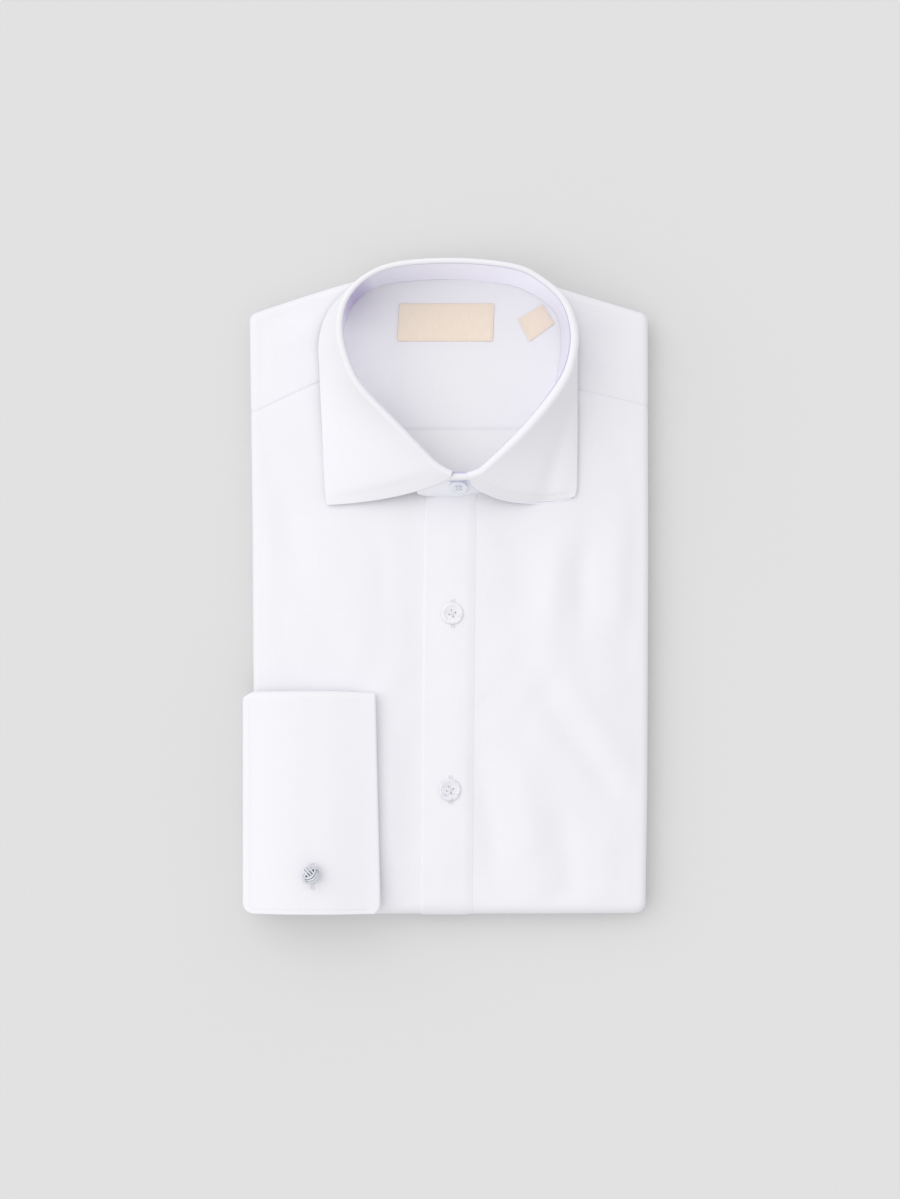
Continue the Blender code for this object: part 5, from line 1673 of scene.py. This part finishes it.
def button_blank(wide):
    edit = bmesh.new()
    corners = [edit.verts.new(Vector((share * wide / 2, 0, height)) * MM) for share, height in BUTTON_PROFILE]
    profile = [edit.edges.new(pair) for pair in zip(corners, corners[1:])]
    bmesh.ops.spin(edit, geom=corners + profile, axis=(0, 0, 1), angle=2 * pi, steps=48, use_merge=True)
    bmesh.ops.remove_doubles(edit, verts=edit.verts, dist=1e-6)
    bmesh.ops.recalc_face_normals(edit, faces=edit.faces)
    return mesh_of("blank", edit)


def hole_places():
    for quarter in range(4):
        angle = HOLE_TURN + pi / 2 * quarter
        yield HOLE_FROM_MIDDLE * cos(angle), HOLE_FROM_MIDDLE * sin(angle)


def drilled(blank):
    """The blank with its four holes, cut by a Boolean and kept as a plain mesh."""
    drills = bmesh.new()
    for x, y in hole_places():
        spot = Matrix.Translation(Vector((x, y, 1)) * MM)
        bmesh.ops.create_cone(drills, cap_ends=True, segments=16, radius1=HOLE_WIDE / 2 * MM,
                              radius2=HOLE_WIDE / 2 * MM, depth=6 * MM, matrix=spot)
    drill_mesh = mesh_of("drills", drills)
    body, cutter = bpy.data.objects.new("body", blank), bpy.data.objects.new("drills", drill_mesh)
    for helper in (body, cutter):
        bpy.context.scene.collection.objects.link(helper)
    cut = body.modifiers.new("holes", "BOOLEAN")
    cut.operation, cut.object = "DIFFERENCE", cutter
    bpy.context.view_layer.update()
    mesh = bpy.data.meshes.new_from_object(body.evaluated_get(bpy.context.evaluated_depsgraph_get()))
    for helper in (body, cutter):
        bpy.data.objects.remove(helper)
    edit = bmesh.new()
    edit.from_mesh(mesh)
    for face in edit.faces:
        face.smooth = True
    for edge in edit.edges:
        edge.smooth = edge.calc_face_angle(0) < radians(38)
    edit.to_mesh(mesh)
    edit.free()
    return mesh


HOLE_FLOORS = (("brown", BROWN_HOLE_FLOOR, (0, 3)), ("grey", GREY_HOLE_SHADE, (1, 2)))  # what shows in which holes
THREAD_APART = 0.26  # between neighbouring threads of a pair of holes


def button(name, wide, seat, normal, twist=0.0, pairs=((0, 2), (1, 3)), hole_floors=HOLE_FLOORS):
    """A drilled button standing on the cloth, and the thread through its four holes, two by two."""
    turn = Vector(normal).to_track_quat("Z", "Y").to_matrix().to_4x4() @ Matrix.Rotation(twist, 4, "Z")
    spot = Matrix.Translation(Vector(seat) * MM) @ turn
    mesh = drilled(button_blank(wide))
    mesh.transform(spot)
    made = add_piece(f"{name}_shell", mesh, SHELLS[name])
    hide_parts(name)
    holes = [np.array((x, y, 0)) for x, y in hole_places()]
    threads = []
    for first, second in ((holes[start], holes[stop]) for start, stop in pairs):
        aside = np.cross(second - first, UP)
        aside = aside / np.linalg.norm(aside) * THREAD_APART
        for step in (-1, 0, 1):
            path = ((first, 0.2), (first, 0.8), (first * 0.72, 1.1))
            path += ((second * 0.72, 1.1), (second, 0.8), (second, 0.2))
            line = [place + aside * step + UP * height for place, height in path]
            threads.append([np.array(spot @ Vector(point * MM)) / MM for point in line])
    tube(f"{name}_thread", threads, 0.16, THREAD_WHITE, closed=False)
    # A disc in each chosen hole; the grey ones are painted shade.
    for skin, shade, chosen in hole_floors:
        discs = bmesh.new()
        for hole in chosen:
            place = spot @ Matrix.Translation(Vector((*holes[hole][:2], 0.3)) * MM)
            size = HOLE_WIDE * 0.49 * MM
            bmesh.ops.create_circle(discs, cap_ends=True, segments=12, radius=size, matrix=place)
        add_piece(f"{name}_{skin}_skin", mesh_of(f"{name}_{skin}", discs), shade)


# %% Buttons in their places
BUTTON_SEAT = -0.15  # a button's back over the cloth, which gives a little
COLLAR_BUTTON_X = 7.2
for index, (x, y) in enumerate(BUTTONS_XY, 1):
    button(f"front_button_{index}", FRONT_BUTTON, on_placket(x, y) + UP * BUTTON_SEAT, UP)
middle_column = len(BAND_SHARES) * 0.60
front_row = len(stand_shape) - len(OVERLAP) - 1
collar_seat = spot_on(stand_shape, front_row, middle_column)
upward = spot_on(stand_shape, front_row, middle_column + 2) - collar_seat
collar_facing = np.array((0, -upward[2], upward[1]))
collar_facing = collar_facing / np.linalg.norm(collar_facing)
collar_seat = np.array((COLLAR_BUTTON_X, *collar_seat[1:])) + collar_facing * 0.5
button("collar_button", COLLAR_BUTTON, collar_seat, collar_facing, radians(45) - HOLE_TURN,
       pairs=((0, 1), (2, 3)), hole_floors=(("blue", BLUE_HOLE_FLOOR, (0, 1, 2, 3)),))

# %% [markdown]
# ## Floor
#
# The floor is a plain pale grey. It belongs to the stage, not to the shirt.

# %% Floor and the end
FLOOR_GREY = 0.725
floor_edit = bmesh.new()
bmesh.ops.create_grid(floor_edit, x_segments=2, y_segments=2, size=20)
floor_mesh = mesh_of("floor", floor_edit)
floor_look, _, floor_shader = finish_of("pale floor", 0.9)
floor_shader.inputs["Base Color"].default_value = (FLOOR_GREY, FLOOR_GREY, FLOOR_GREY, 1)
floor_mesh.materials.append(floor_look)
floor = bpy.data.objects.new("floor", floor_mesh)
bpy.context.scene.collection.objects.link(floor)
